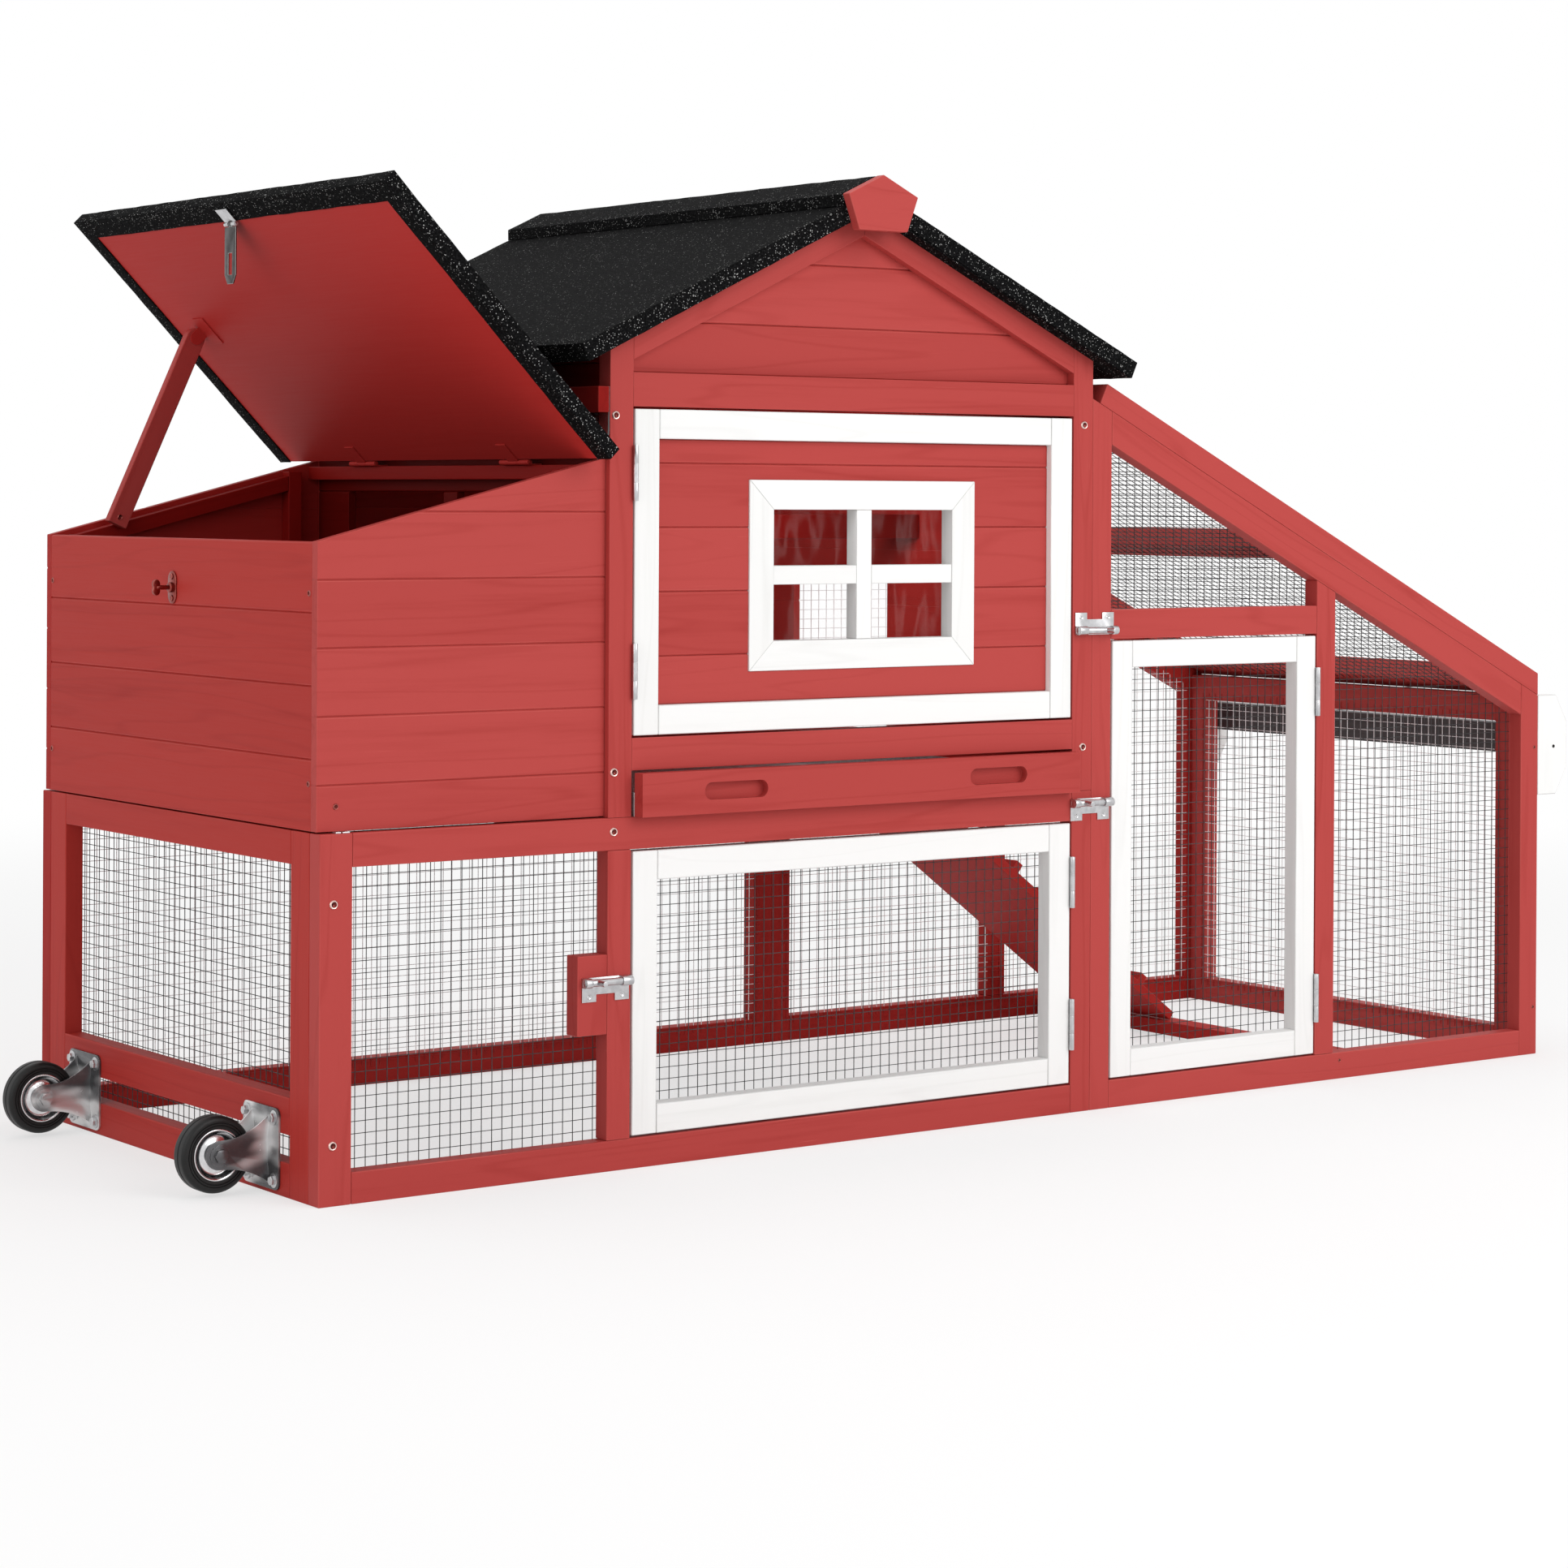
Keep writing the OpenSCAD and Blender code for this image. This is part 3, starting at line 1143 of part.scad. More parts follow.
// Litter tray: a board front with two finger slots, and a thin pan on the runners
tray_x0 = door_x0 + door_gap;
tray_x1 = door_x1 - door_gap;
tray_front_t = 16;
tray_z0 = base_h + slip;
finger_l = 85;
finger_h = 19;
finger_depth = 10;
finger_share = 0.2;
module finger_slot(x) {
    z = (tray_z0 + tray_top) / 2;
    r = finger_h / 2;
    y0 = -tray_proud - cut;
    y1 = finger_depth - tray_proud;
    slab([x - finger_l / 2 + r, y0, z - r], [x + finger_l / 2 - r, y1, z + r]);
    for (side = [-1, 1]) translate([x + side * (finger_l / 2 - r), 0, z]) rod_y(y0, y1, r);
}
module tray_front() color(paint_red) place() difference() {
    slab([tray_x0, -tray_proud, tray_z0], [tray_x1, tray_front_t - tray_proud, tray_top - door_gap]);
    for (share = [finger_share, 1 - finger_share]) finger_slot(tray_x0 + share * (tray_x1 - tray_x0));
}
module tray_pan() color(zinc) place() difference() {
    y0 = tray_front_t - tray_proud + seam;
    y1 = base_w - frame_t - door_gap;
    slab([tray_x0, y0, tray_z0], [tray_x1, y1, tray_z0 + tray_depth]);
    slab([tray_x0 + tray_wall, y0 + tray_wall, tray_z0 + tray_wall],
        [tray_x1 - tray_wall, y1 - tray_wall, tray_z0 + tray_depth + cut]);
}

base_front_frame();
base_back_frame();
base_end_frame();
front_left_net();
base_back_net();
base_end_net();
run_front_frame();
run_back_frame();
run_end_frame();
run_roof_frame();
run_gable_net();
run_front_net();
run_back_net();
run_end_net();
run_roof_net();
house_front();
house_back_wall();
house_left_wall();
house_right_wall();
roof_boards();
roof_felt();
ridge_cap();
ridge_block();
nest_front_wall();
nest_back_wall();
nest_end_wall();
nest_floor();
nest_battens();
rain_flap();
perch();
ramp();
tray_runners();
carry_handle();
bolt_plates();
hinge_leaves();
casters();
nest_lid();
lid_felt();
lid_fittings();
hasp_pin();
hasp_strap();
staple_knob();
lid_prop();
house_door_frame();
house_door_boards();
window_frame();
window_pane();
lower_door_frame();
lower_door_net();
run_door_frame();
run_door_net();
house_bolt();
run_bolt();
lower_bolt();
tray_front();
tray_pan();
front_tyre();
front_hub();
rear_tyre();
rear_hub();
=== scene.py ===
"""Visual model of a wheeled coop with a nest box, a litter tray and a netted run.

Lengths are metres in the shared frame: +X runs to the carrying handle, +Y to the back, +Z up.
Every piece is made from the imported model's nodes or set against them.
"""

import json
import logging
import math
import random
from collections.abc import Callable, Iterable
from dataclasses import dataclass, replace
from enum import Enum

import bmesh
import bpy
import numpy as np
from mathutils import Matrix, Vector, noise

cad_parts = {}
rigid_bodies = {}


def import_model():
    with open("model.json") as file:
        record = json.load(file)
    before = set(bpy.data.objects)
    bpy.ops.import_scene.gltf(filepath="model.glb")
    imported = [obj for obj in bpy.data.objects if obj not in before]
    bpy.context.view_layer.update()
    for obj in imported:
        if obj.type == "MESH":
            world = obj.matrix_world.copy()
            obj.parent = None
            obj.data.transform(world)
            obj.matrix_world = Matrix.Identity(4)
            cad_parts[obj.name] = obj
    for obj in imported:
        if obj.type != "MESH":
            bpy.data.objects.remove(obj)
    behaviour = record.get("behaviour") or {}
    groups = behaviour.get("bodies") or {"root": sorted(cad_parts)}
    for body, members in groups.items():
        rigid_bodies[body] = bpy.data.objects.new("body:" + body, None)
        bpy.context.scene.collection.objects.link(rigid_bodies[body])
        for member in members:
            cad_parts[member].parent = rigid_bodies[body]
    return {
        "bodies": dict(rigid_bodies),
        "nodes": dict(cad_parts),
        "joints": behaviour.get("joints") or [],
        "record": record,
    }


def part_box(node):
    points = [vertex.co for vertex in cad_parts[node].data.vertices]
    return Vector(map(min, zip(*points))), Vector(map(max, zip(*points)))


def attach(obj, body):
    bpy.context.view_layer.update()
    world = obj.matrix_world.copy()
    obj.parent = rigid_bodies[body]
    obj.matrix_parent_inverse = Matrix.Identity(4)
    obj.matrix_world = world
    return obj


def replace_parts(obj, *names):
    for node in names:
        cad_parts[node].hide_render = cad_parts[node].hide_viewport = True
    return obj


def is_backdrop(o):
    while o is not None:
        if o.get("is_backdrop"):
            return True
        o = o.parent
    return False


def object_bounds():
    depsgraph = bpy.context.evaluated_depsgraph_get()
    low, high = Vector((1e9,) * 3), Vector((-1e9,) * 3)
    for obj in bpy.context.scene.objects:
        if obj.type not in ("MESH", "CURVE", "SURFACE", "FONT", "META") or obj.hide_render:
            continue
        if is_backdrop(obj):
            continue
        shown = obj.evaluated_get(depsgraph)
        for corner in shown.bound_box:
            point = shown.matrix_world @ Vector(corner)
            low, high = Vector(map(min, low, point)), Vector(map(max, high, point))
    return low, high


LOG = logging.getLogger("coop")
IMAGE_PIXELS = 1932
MM = 0.001
FULL_TURN = 2.0 * math.pi
PURE_WHITE = (1.0, 1.0, 1.0, 1.0)

# Tolerances: points that count as one, as touching and as on one plane, and the bend of a flat face.
WELD = 0.01 * MM
TOUCH = 0.02 * MM
NEAR = 0.1 * MM
FLAT_ANGLE = math.radians(1.0)

# Range of the boards' own tones: below 0 is lighter than the paint, above 0 darker.
TONES = (-0.5, 1.0)

Colour = tuple[float, float, float]
Triple = tuple[float, float, float]
Section = list[tuple[float, float]]
Loop = list[bmesh.types.BMVert]


class Slot(Enum):
    """Material slots of the record."""

    RED = "red_paint"
    WHITE = "white_paint"
    FELT = "felt"
    ZINC = "zinc"
    PAN = "galvanised"
    WIRE = "wire"
    RUBBER = "rubber"
    CLEAR = "clear_sheet"


class Owner(Enum):
    """What a node tree belongs to, as Blender's output nodes name it."""

    MATERIAL = "Material"
    WORLD = "World"


class Value:
    """A shader socket that takes part in Python sums."""

    def __init__(self, graph: "Graph", socket: bpy.types.NodeSocket) -> None:
        """Wraps one output socket of the graph."""
        self.graph = graph
        self.socket = socket

    def _math(self, operation: str, first: "Value | float", second: "Value | float" = 0.0) -> "Value":
        """Adds one Math node for an operator and gives its result."""
        return self.graph.node("ShaderNodeMath", {"operation": operation}, {0: first, 1: second})

    def __add__(self, other: "Value | float") -> "Value":
        """Sum."""
        return self._math("ADD", self, other)

    __radd__ = __add__

    def __sub__(self, other: "Value | float") -> "Value":
        """Difference."""
        return self._math("SUBTRACT", self, other)

    def __rsub__(self, other: float) -> "Value":
        """Difference from a number."""
        return self._math("SUBTRACT", other, self)

    def __mul__(self, other: "Value | float") -> "Value":
        """Product."""
        return self._math("MULTIPLY", self, other)

    __rmul__ = __mul__

    def __abs__(self) -> "Value":
        """Size without its sign."""
        return self._math("ABSOLUTE", self)

    def fraction(self) -> "Value":
        """Part after the point."""
        return self._math("FRACT", self)

    def greater(self, other: "Value") -> "Value":
        """The greater of two values."""
        return self._math("MAXIMUM", self, other)

    def step(self, low: float, high: float) -> "Value":
        """Rises smoothly from 0 at low to 1 at high.

        Args:
            low: Where the rise starts.
            high: Where it ends.

        Returns:
            The mask.
        """
        return self.graph.node(
            "ShaderNodeMapRange",
            {"interpolation_type": "SMOOTHSTEP"},
            {"Value": self, "From Min": low, "From Max": high},
        )


class Graph:
    """Node tree of one material, or of the world."""

    def __init__(self, name: str, kind: Owner = Owner.MATERIAL) -> None:
        """Makes an empty tree.

        Args:
            name: Name of the material or world.
            kind: Which of the two it is.
        """
        store = bpy.data.worlds if kind is Owner.WORLD else bpy.data.materials
        self.kind = kind
        self.owner = store.new(name)
        self.owner.use_nodes = True
        self.tree = self.owner.node_tree
        self.tree.nodes.clear()

    def node(
        self, kind: str, settings: dict[str, object], inputs: dict[str | int, object],
        output: int | str = 0,
    ) -> Value:
        """Adds a node, sets it up and links it.

        Args:
            kind: Blender's node type.
            settings: Properties of the node, set first.
            inputs: Numbers, colours or values by socket name or place.
            output: Which output is wanted.

        Returns:
            That output.
        """
        made = self.tree.nodes.new(kind)
        for key, value in settings.items():
            setattr(made, key, value)
        for key, value in inputs.items():
            if isinstance(value, Value):
                self.tree.links.new(value.socket, made.inputs[key])
            else:
                made.inputs[key].default_value = value
        return Value(self, made.outputs[output])

    def attribute(self, name: str, output: str = "Fac") -> Value:
        """Reads a mesh attribute: Vector for a place, Fac for a number."""
        return self.node("ShaderNodeAttribute", {"attribute_name": name}, {}, output)

    def place(self) -> Value:
        """Place on the object, in the shared frame at rest."""
        return self.node("ShaderNodeTexCoord", {}, {}, "Object")

    def along(self, axis: int) -> Value:
        """Place along one axis."""
        return self.node("ShaderNodeSeparateXYZ", {}, {0: self.place()}, axis)

    def stretch(self, vector: Value, scale: Triple) -> Value:
        """Scales a place by axis, so that a pattern runs along one of them."""
        return self.node("ShaderNodeVectorMath", {"operation": "MULTIPLY"}, {0: vector, 1: scale})

    def noise(self, vector: Value, scale: float, detail: float = 3.0, rough: float = 0.55) -> Value:
        """Fractal noise from 0 to 1: cells per metre, octaves, and the weight of the finer ones."""
        inputs = {"Vector": vector, "Scale": scale, "Detail": detail, "Roughness": rough}
        return self.node("ShaderNodeTexNoise", {}, inputs, "Fac")

    def cells(self, vector: Value, scale: float, output: str) -> Value:
        """Voronoi cells: Distance for domes, Color for a random colour in each cell."""
        return self.node("ShaderNodeTexVoronoi", {}, {"Vector": vector, "Scale": scale}, output)

    def red_of(self, colour: Value) -> Value:
        """First channel of a colour, as a random number for each cell."""
        return self.node("ShaderNodeSeparateColor", {}, {0: colour}, 0)

    def shown(self) -> Value:
        """Tells rays that should see the white background from the rest.

        Returns:
            1 for rays from the camera, off metal or through clear sheet, and 0 for the others.
        """
        kinds = ("Is Camera Ray", "Is Glossy Ray", "Is Transmission Ray")
        camera, glossy, clear = (self.node("ShaderNodeLightPath", {}, {}, kind) for kind in kinds)
        return camera.greater(glossy).greater(clear)

    def mix(self, factor: Value | float, first: Value | Colour, second: Value | Colour) -> Value:
        """Blends two colours.

        Args:
            factor: Share of the second colour.
            first: Colour at 0.
            second: Colour at 1.

        Returns:
            The blended colour.
        """
        ends = [(*c, 1.0) if isinstance(c, tuple) else c for c in (first, second)]
        settings = {"data_type": "RGBA", "clamp_factor": True}
        return self.node("ShaderNodeMix", settings, {0: factor, 6: ends[0], 7: ends[1]}, 2)

    def bump(self, height: Value, strength: float, depth: float) -> Value:
        """Normal of a relief from 0 to 1, where depth is the height of 1 in metres."""
        inputs = {"Strength": strength, "Distance": depth, "Height": height}
        return self.node("ShaderNodeBump", {}, inputs)

    def surface(self, inputs: dict[str, object]) -> bpy.types.Material:
        """Closes the graph with a Principled surface of those sockets."""
        return self.close(self.node("ShaderNodeBsdfPrincipled", {}, inputs))

    def close(self, shader: Value) -> bpy.types.Material | bpy.types.World:
        """Links a shader to the output.

        Args:
            shader: The shader.

        Returns:
            The finished material or world.
        """
        out = self.tree.nodes.new("ShaderNodeOutput" + self.kind.value)
        self.tree.links.new(shader.socket, out.inputs["Surface"])
        return self.owner


@dataclass(frozen=True)
class PaintedTimber:
    """Satin paint over softwood whose grain still shows."""

    name: str
    paint: Colour
    shade: Colour
    fleck: Colour
    edge: Colour
    relief: float
    grain: float = 1.0
    sheen: float = 0.3

    STREAKS = (2.2, 46.0, 46.0)
    FIBRES = (14.0, 520.0, 520.0)
    RINGS = (1.3, 17.0, 17.0)
    RING_COUNT = 7.0
    DEPTH = 0.5 * MM

    def build(self) -> bpy.types.Material:
        """Grain follows each board's own length, and each board has its own tone.

        Returns:
            The material.
        """
        g = Graph(self.name)
        board = g.attribute("board", "Vector")
        tone = g.attribute("tone")
        rim = g.attribute("rim")
        streak = g.noise(g.stretch(board, self.STREAKS), 1.0, 5.0, 0.62)
        fibre = g.noise(g.stretch(board, self.FIBRES), 1.0, 3.0)
        patch = g.noise(board, 7.0, 2.0)
        rings = g.noise(g.stretch(board, self.RINGS), 1.0, 1.5)
        late = abs((rings * self.RING_COUNT).fraction() - 0.5).step(0.36, 0.5)
        dark = (streak.step(0.48, 0.78) * 0.55 + late * 0.3 + tone * 0.35) * self.grain
        dry = fibre.step(0.66, 0.82) * patch.step(0.42, 0.7) * self.grain
        colour = g.mix(dark, self.paint, self.shade)
        colour = g.mix(dry * 0.5, colour, self.fleck)
        # Eased edges take the edge colour: on red paint a lighter line, partly worn paint and partly
        # painted highlight; on white paint a painted shade line.
        colour = g.mix(rim * patch.step(0.25, 0.75) * 0.55, colour, self.edge)
        height = streak * 0.5 + fibre * 0.3 - late * 0.25
        return g.surface({
            "Base Color": colour,
            "Roughness": 0.44 + fibre * 0.16 - rim * 0.06,
            "Specular IOR Level": self.sheen,
            "Normal": g.bump(height, self.relief, self.DEPTH),
        })


@dataclass(frozen=True)
class MineralFelt:
    """Tarred roofing felt with grit, and bright grains that thicken towards its edges."""

    name: str
    tar: Colour
    grit: Colour
    bright: Colour
    grain: float

    DEPTH = 1.2 * MM

    def build(self) -> bpy.types.Material:
        """Crumbs of grit over tar, with bright grains among them.

        Returns:
            The material.
        """
        g = Graph(self.name)
        place = g.place()
        edge = g.attribute("edge")
        dome = 1.0 - g.cells(place, 1.0 / self.grain, "Distance")
        chance = g.red_of(g.cells(place, 1.0 / self.grain, "Color"))
        fine = g.noise(place, 900.0, 2.0)
        worn = g.noise(place, 22.0, 3.0).step(0.3, 0.75)
        crumb = g.noise(place, 380.0, 3.0, 0.65)
        shed = edge * edge * (0.35 + worn * 0.65)
        bright = (chance + shed * 0.11).step(0.955, 0.975)
        sparkle = bright * dome.step(0.4, 0.7) * crumb.step(0.3, 0.7)
        colour = g.mix(crumb.step(0.42, 0.68) * (0.6 + fine * 0.4), self.tar, self.grit)
        colour = g.mix(sparkle * (0.45 + worn * 0.3 + edge * 0.25), colour, self.bright)
        return g.surface({
            "Base Color": colour,
            "Roughness": 0.80 + fine * 0.14,
            "Specular IOR Level": 0.04,
            "Normal": g.bump(dome * 0.4 + crumb * 0.9 + fine * 0.3, 0.8, self.DEPTH),
        })


@dataclass(frozen=True)
class PlatedSteel:
    """Bright plated or galvanised sheet."""

    name: str
    metal: Colour
    cloud: Colour
    edge: Colour
    roughness: float
    spangle: float = 0.0
    metallic: float = 1.0
    reflection_bands: float = 0.0

    SCRATCHES = (90.0, 90.0, 2400.0)
    REFLECTION_BANDS = (14.0, 14.0, 34.0)
    DEPTH = 0.05 * MM

    def build(self) -> bpy.types.Material:
        """Cloudy plating whose edges are lighter, partly from worn plating and partly as a painted
        highlight.

        Galvanised sheet has spangles, and formed sheet can carry a painted reflection: broad light streaks
        over its base.

        Returns:
            The material.
        """
        g = Graph(self.name)
        place = g.place()
        rim = g.attribute("rim")
        cloud = g.noise(place, 120.0, 4.0)
        scratch = g.noise(g.stretch(place, self.SCRATCHES), 1.0, 2.0)
        grain = g.red_of(g.cells(place, 95.0, "Color"))
        colour = g.mix(cloud.step(0.35, 0.7) * 0.6 + grain * self.spangle, self.metal, self.cloud)
        # Painted reflection: broad light streaks mixed into the base colour, as if the plate mirrored lamps
        # and a dark room.
        if self.reflection_bands:
            band = g.noise(g.stretch(place, self.REFLECTION_BANDS), 1.0, 1.5)
            colour = g.mix(band.step(0.45, 0.62) * self.reflection_bands, colour, self.edge)
        # Eased edges take the edge colour: a painted highlight, and partly worn plating.
        colour = g.mix(rim * 0.85, colour, self.edge)
        return g.surface({
            "Base Color": colour,
            "Metallic": self.metallic,
            "Roughness": self.roughness + cloud * 0.16 + grain * self.spangle * 0.3,
            "Normal": g.bump(scratch, 0.12, self.DEPTH),
        })


@dataclass(frozen=True)
class NetWire:
    """Welded wire, dull or bright, and painted near the sides of its box and across its frame's posts."""

    name: str
    metal: Colour
    dull: Colour
    metallic: float
    # This red matches the far frames' painted-shade tone.
    paint: Colour = (0.38, 0.03, 0.026)
    low: Triple | None = None
    high: Triple | None = None
    lap: float = 10.5 * MM
    fade: float = 1.0 * MM
    posts: tuple[tuple[float, float], ...] = ()

    def build(self) -> bpy.types.Material:
        """Wire that is duller in patches, and painted over where it laps onto its frame.

        Returns:
            The material.
        """
        g = Graph(self.name)
        patch = g.noise(g.place(), 60.0, 3.0)
        colour = g.mix(patch.step(0.3, 0.7), self.metal, self.dull)
        if self.low and self.high:
            for axis in range(3):
                if self.high[axis] - self.low[axis] > 4.0 * self.lap:
                    spot = g.along(axis)
                    for inset in (spot - self.low[axis], self.high[axis] - spot):
                        colour = g.mix(inset.step(self.lap, self.lap - self.fade), colour, self.paint)
        for start, end in self.posts:
            across = g.along(0)
            crossed = across.step(start - self.fade / 2.0, start) * across.step(end + self.fade / 2.0, end)
            colour = g.mix(crossed, colour, self.paint)
        return g.surface({
            "Base Color": colour,
            "Metallic": self.metallic,
            "Roughness": 0.42 + patch * 0.25,
            "Specular IOR Level": 0.2,
        })


@dataclass(frozen=True)
class TyreRubber:
    """Black rubber with a dusty bloom."""

    name: str
    rubber: Colour
    dust: Colour

    DEPTH = 0.15 * MM

    def build(self) -> bpy.types.Material:
        """Fine mould texture under a light bloom.

        Returns:
            The material.
        """
        g = Graph(self.name)
        place = g.place()
        bloom = g.noise(place, 90.0, 4.0)
        pore = g.noise(place, 1800.0, 2.0)
        return g.surface({
            "Base Color": g.mix(bloom.step(0.45, 0.8) * 0.6, self.rubber, self.dust),
            "Roughness": 0.34 + bloom * 0.25,
            "Specular IOR Level": 0.35,
            "Normal": g.bump(pore, 0.25, self.DEPTH),
        })


@dataclass(frozen=True)
class ClearFilm:
    """Thin clear plastic sheet with soft creases, and painted highlights along its creases and cut edge."""

    name: str
    film: Colour
    alpha: float
    crease: float

    WAVES = (26.0, 26.0, 7.0)
    DEPTH = 6.0 * MM

    def build(self) -> bpy.types.Material:
        """Creases and cut edges are drawn more opaque than the flat film, as painted highlights.

        Returns:
            The material.
        """
        g = Graph(self.name)
        rim = g.attribute("rim")
        wave = g.noise(g.stretch(g.place(), self.WAVES), 1.0, 2.0)
        crease_glint = 1.0 - abs(wave - 0.5).step(0.0, 0.06)
        return g.surface({
            "Base Color": (*self.film, 1.0),
            "Roughness": 0.06 + crease_glint * 0.08,
            # Painted highlights: creases and cut edges are more opaque than the flat film.
            "Alpha": self.alpha + crease_glint * self.crease + rim * 0.85,
            "Normal": g.bump(wave, 0.55, self.DEPTH),
        })


RED_PAINT = PaintedTimber(
    "red_paint", paint=(0.467, 0.061, 0.055), shade=(0.370, 0.037, 0.032),
    fleck=(0.60, 0.13, 0.11), edge=(0.57, 0.11, 0.095), relief=0.42, sheen=0.13)
# Painted shade: the same red paint, darker and deeper for the left end, which faces away from the main
# light.
RED_SIDE_PAINTED_SHADE = replace(
    RED_PAINT, name="red_side_painted_shade", paint=(0.448, 0.034, 0.026), shade=(0.355, 0.021, 0.016),
    fleck=(0.57, 0.085, 0.07), edge=(0.54, 0.075, 0.062))
# Painted shade: the same red paint, darker for the back frames and walls, which stand in shade behind the
# front.
RED_FAR_PAINTED_SHADE = replace(
    RED_PAINT, name="red_far_painted_shade", paint=(0.40, 0.025, 0.021), shade=(0.31, 0.016, 0.013),
    fleck=(0.50, 0.06, 0.05), edge=(0.48, 0.055, 0.048), sheen=0.08)
# Smooth-grained panel paint, whose deeper red is painted shade for pieces mostly seen from their shaded
# side: the lid's underside, the eaves' undersides, the ramp and the lid's painted fittings.
RED_PANEL_PAINTED_SHADE = PaintedTimber(
    "red_panel_painted_shade", paint=(0.460, 0.031, 0.027), shade=(0.40, 0.023, 0.019),
    fleck=(0.53, 0.06, 0.05), edge=(0.52, 0.06, 0.05), relief=0.12, grain=0.3, sheen=0.07)
# Painted shade: the same red paint, much darker inside the nest and the house, on the nest's floor and
# battens and on the perch.
RED_INSIDE_PAINTED_SHADE = PaintedTimber(
    "red_inside_painted_shade", paint=(0.27, 0.009, 0.007), shade=(0.20, 0.006, 0.005),
    fleck=(0.34, 0.03, 0.025), edge=(0.36, 0.03, 0.025), relief=0.30, grain=0.8, sheen=0.05)
# Painted shade: the same red paint, darkest on the house's left wall, which lies in shade inside the nest.
RED_NEST_WALL_PAINTED_SHADE = replace(
    RED_INSIDE_PAINTED_SHADE, name="red_dark", paint=(0.13, 0.004, 0.003), shade=(0.09, 0.003, 0.002),
    fleck=(0.18, 0.012, 0.010), edge=(0.20, 0.014, 0.012), sheen=0.04)
GREY_PAINT = PaintedTimber(
    "grey_paint", paint=(0.085, 0.085, 0.087), shade=(0.052, 0.052, 0.054),
    fleck=(0.13, 0.13, 0.13), edge=(0.16, 0.16, 0.16), relief=0.30, sheen=0.2)
# The white paint's edge colour is a painted shade line: eased edges are drawn darker grey, which also
# darkens the joints.
WHITE_PAINT = PaintedTimber(
    "white_paint", paint=(0.89, 0.89, 0.88), shade=(0.80, 0.80, 0.785),
    fleck=(0.93, 0.93, 0.92), edge=(0.42, 0.42, 0.41), relief=0.26)
FELT = MineralFelt(
    "roof_felt", tar=(0.0030, 0.0030, 0.0032), grit=(0.0135, 0.0135, 0.014),
    bright=(0.80, 0.80, 0.78), grain=1.25 * MM)
ZINC = PlatedSteel("zinc_plate", (0.60, 0.60, 0.61), (0.40, 0.40, 0.41), (0.80, 0.80, 0.80), 0.22)
# The casters' dark base and light streaks are a painted reflection of a dark room and bright lamps, with
# painted highlights on the edges.
CASTER_ZINC_PAINTED_REFLECTION = PlatedSteel(
    "caster_zinc_painted_reflection", (0.12, 0.12, 0.125), (0.085, 0.085, 0.09), (0.88, 0.88, 0.88), 0.16,
    metallic=0.6, reflection_bands=0.8)
HUB_ZINC = PlatedSteel("hub_zinc", (0.74, 0.74, 0.75), (0.52, 0.52, 0.53), (0.90, 0.90, 0.90), 0.10)
HASP_STEEL = PlatedSteel("hasp_steel", (0.085, 0.08, 0.08), (0.045, 0.04, 0.04), (0.55, 0.54, 0.53), 0.22)
BRONZE = PlatedSteel("bronzed_latch", (0.30, 0.06, 0.05), (0.10, 0.016, 0.013), (0.45, 0.12, 0.10), 0.20)
RING_SCREW = PlatedSteel("ring_screw", (0.17, 0.035, 0.03), (0.07, 0.012, 0.010), (0.88, 0.68, 0.62), 0.24)
PAINTED_SCREW = PlatedSteel(
    "painted_screw", (0.16, 0.03, 0.026), (0.08, 0.013, 0.011), (0.40, 0.11, 0.095), 0.26)
DARK_SCREW = PlatedSteel(
    "dark_screw", (0.018, 0.017, 0.017), (0.010, 0.010, 0.010), (0.06, 0.055, 0.055), 0.30)
PAN = PlatedSteel(
    "galvanised_pan", (0.55, 0.56, 0.57), (0.42, 0.43, 0.44), (0.70, 0.70, 0.70), 0.38, spangle=0.5)
WIRE = NetWire("net_wire", (0.060, 0.060, 0.062), (0.035, 0.035, 0.036), 0.15)
# The far nets' wire is the same wire as the near nets', drawn bright as painted light.
LIT_FAR_WIRE = NetWire("bright_wire", (0.93, 0.93, 0.93), (0.86, 0.86, 0.86), 0.0)
RUBBER = TyreRubber("tyre_rubber", (0.004, 0.004, 0.004), (0.011, 0.011, 0.011))
FILM = ClearFilm("clear_film", (0.92, 0.94, 0.95), 0.03, 0.07)
# The window film's pink tint is a painted reflection of the red room behind it, shown on its creases.
WINDOW_FILM = ClearFilm("window_film", (0.95, 0.74, 0.72), 0.005, 0.04)
FINISHES = {
    Slot.RED: RED_PAINT, Slot.WHITE: WHITE_PAINT, Slot.FELT: FELT, Slot.ZINC: ZINC, Slot.PAN: PAN,
    Slot.WIRE: WIRE, Slot.RUBBER: RUBBER, Slot.CLEAR: FILM,
}
Finish = PaintedTimber | MineralFelt | PlatedSteel | NetWire | TyreRubber | ClearFilm


def corners(node: str) -> tuple[Vector, Vector]:
    """Lowest and highest corner of a node at rest."""
    low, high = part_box(node)
    return Vector(low), Vector(high)


def spots_of(group: Iterable[bmesh.types.BMVert]) -> np.ndarray:
    """Places of some vertices, a row for each."""
    return np.array([vert.co for vert in group])


def to_mesh(
    work: bmesh.types.BMesh, name: str, smooth: bool = False, sharp: float | None = None,
) -> bpy.types.Mesh:
    """Turns working geometry into a mesh and frees it.

    Args:
        work: The geometry.
        name: The mesh's name.
        smooth: Whether its faces are shaded smooth.
        sharp: Angle in degrees past which the edges of smooth faces stay sharp, if any do.

    Returns:
        The mesh.
    """
    mesh = bpy.data.meshes.new(name)
    for face in work.faces:
        face.smooth = smooth or sharp is not None
    work.to_mesh(mesh)
    work.free()
    if sharp is not None:
        mesh.set_sharp_from_angle(angle=math.radians(sharp))
    return mesh


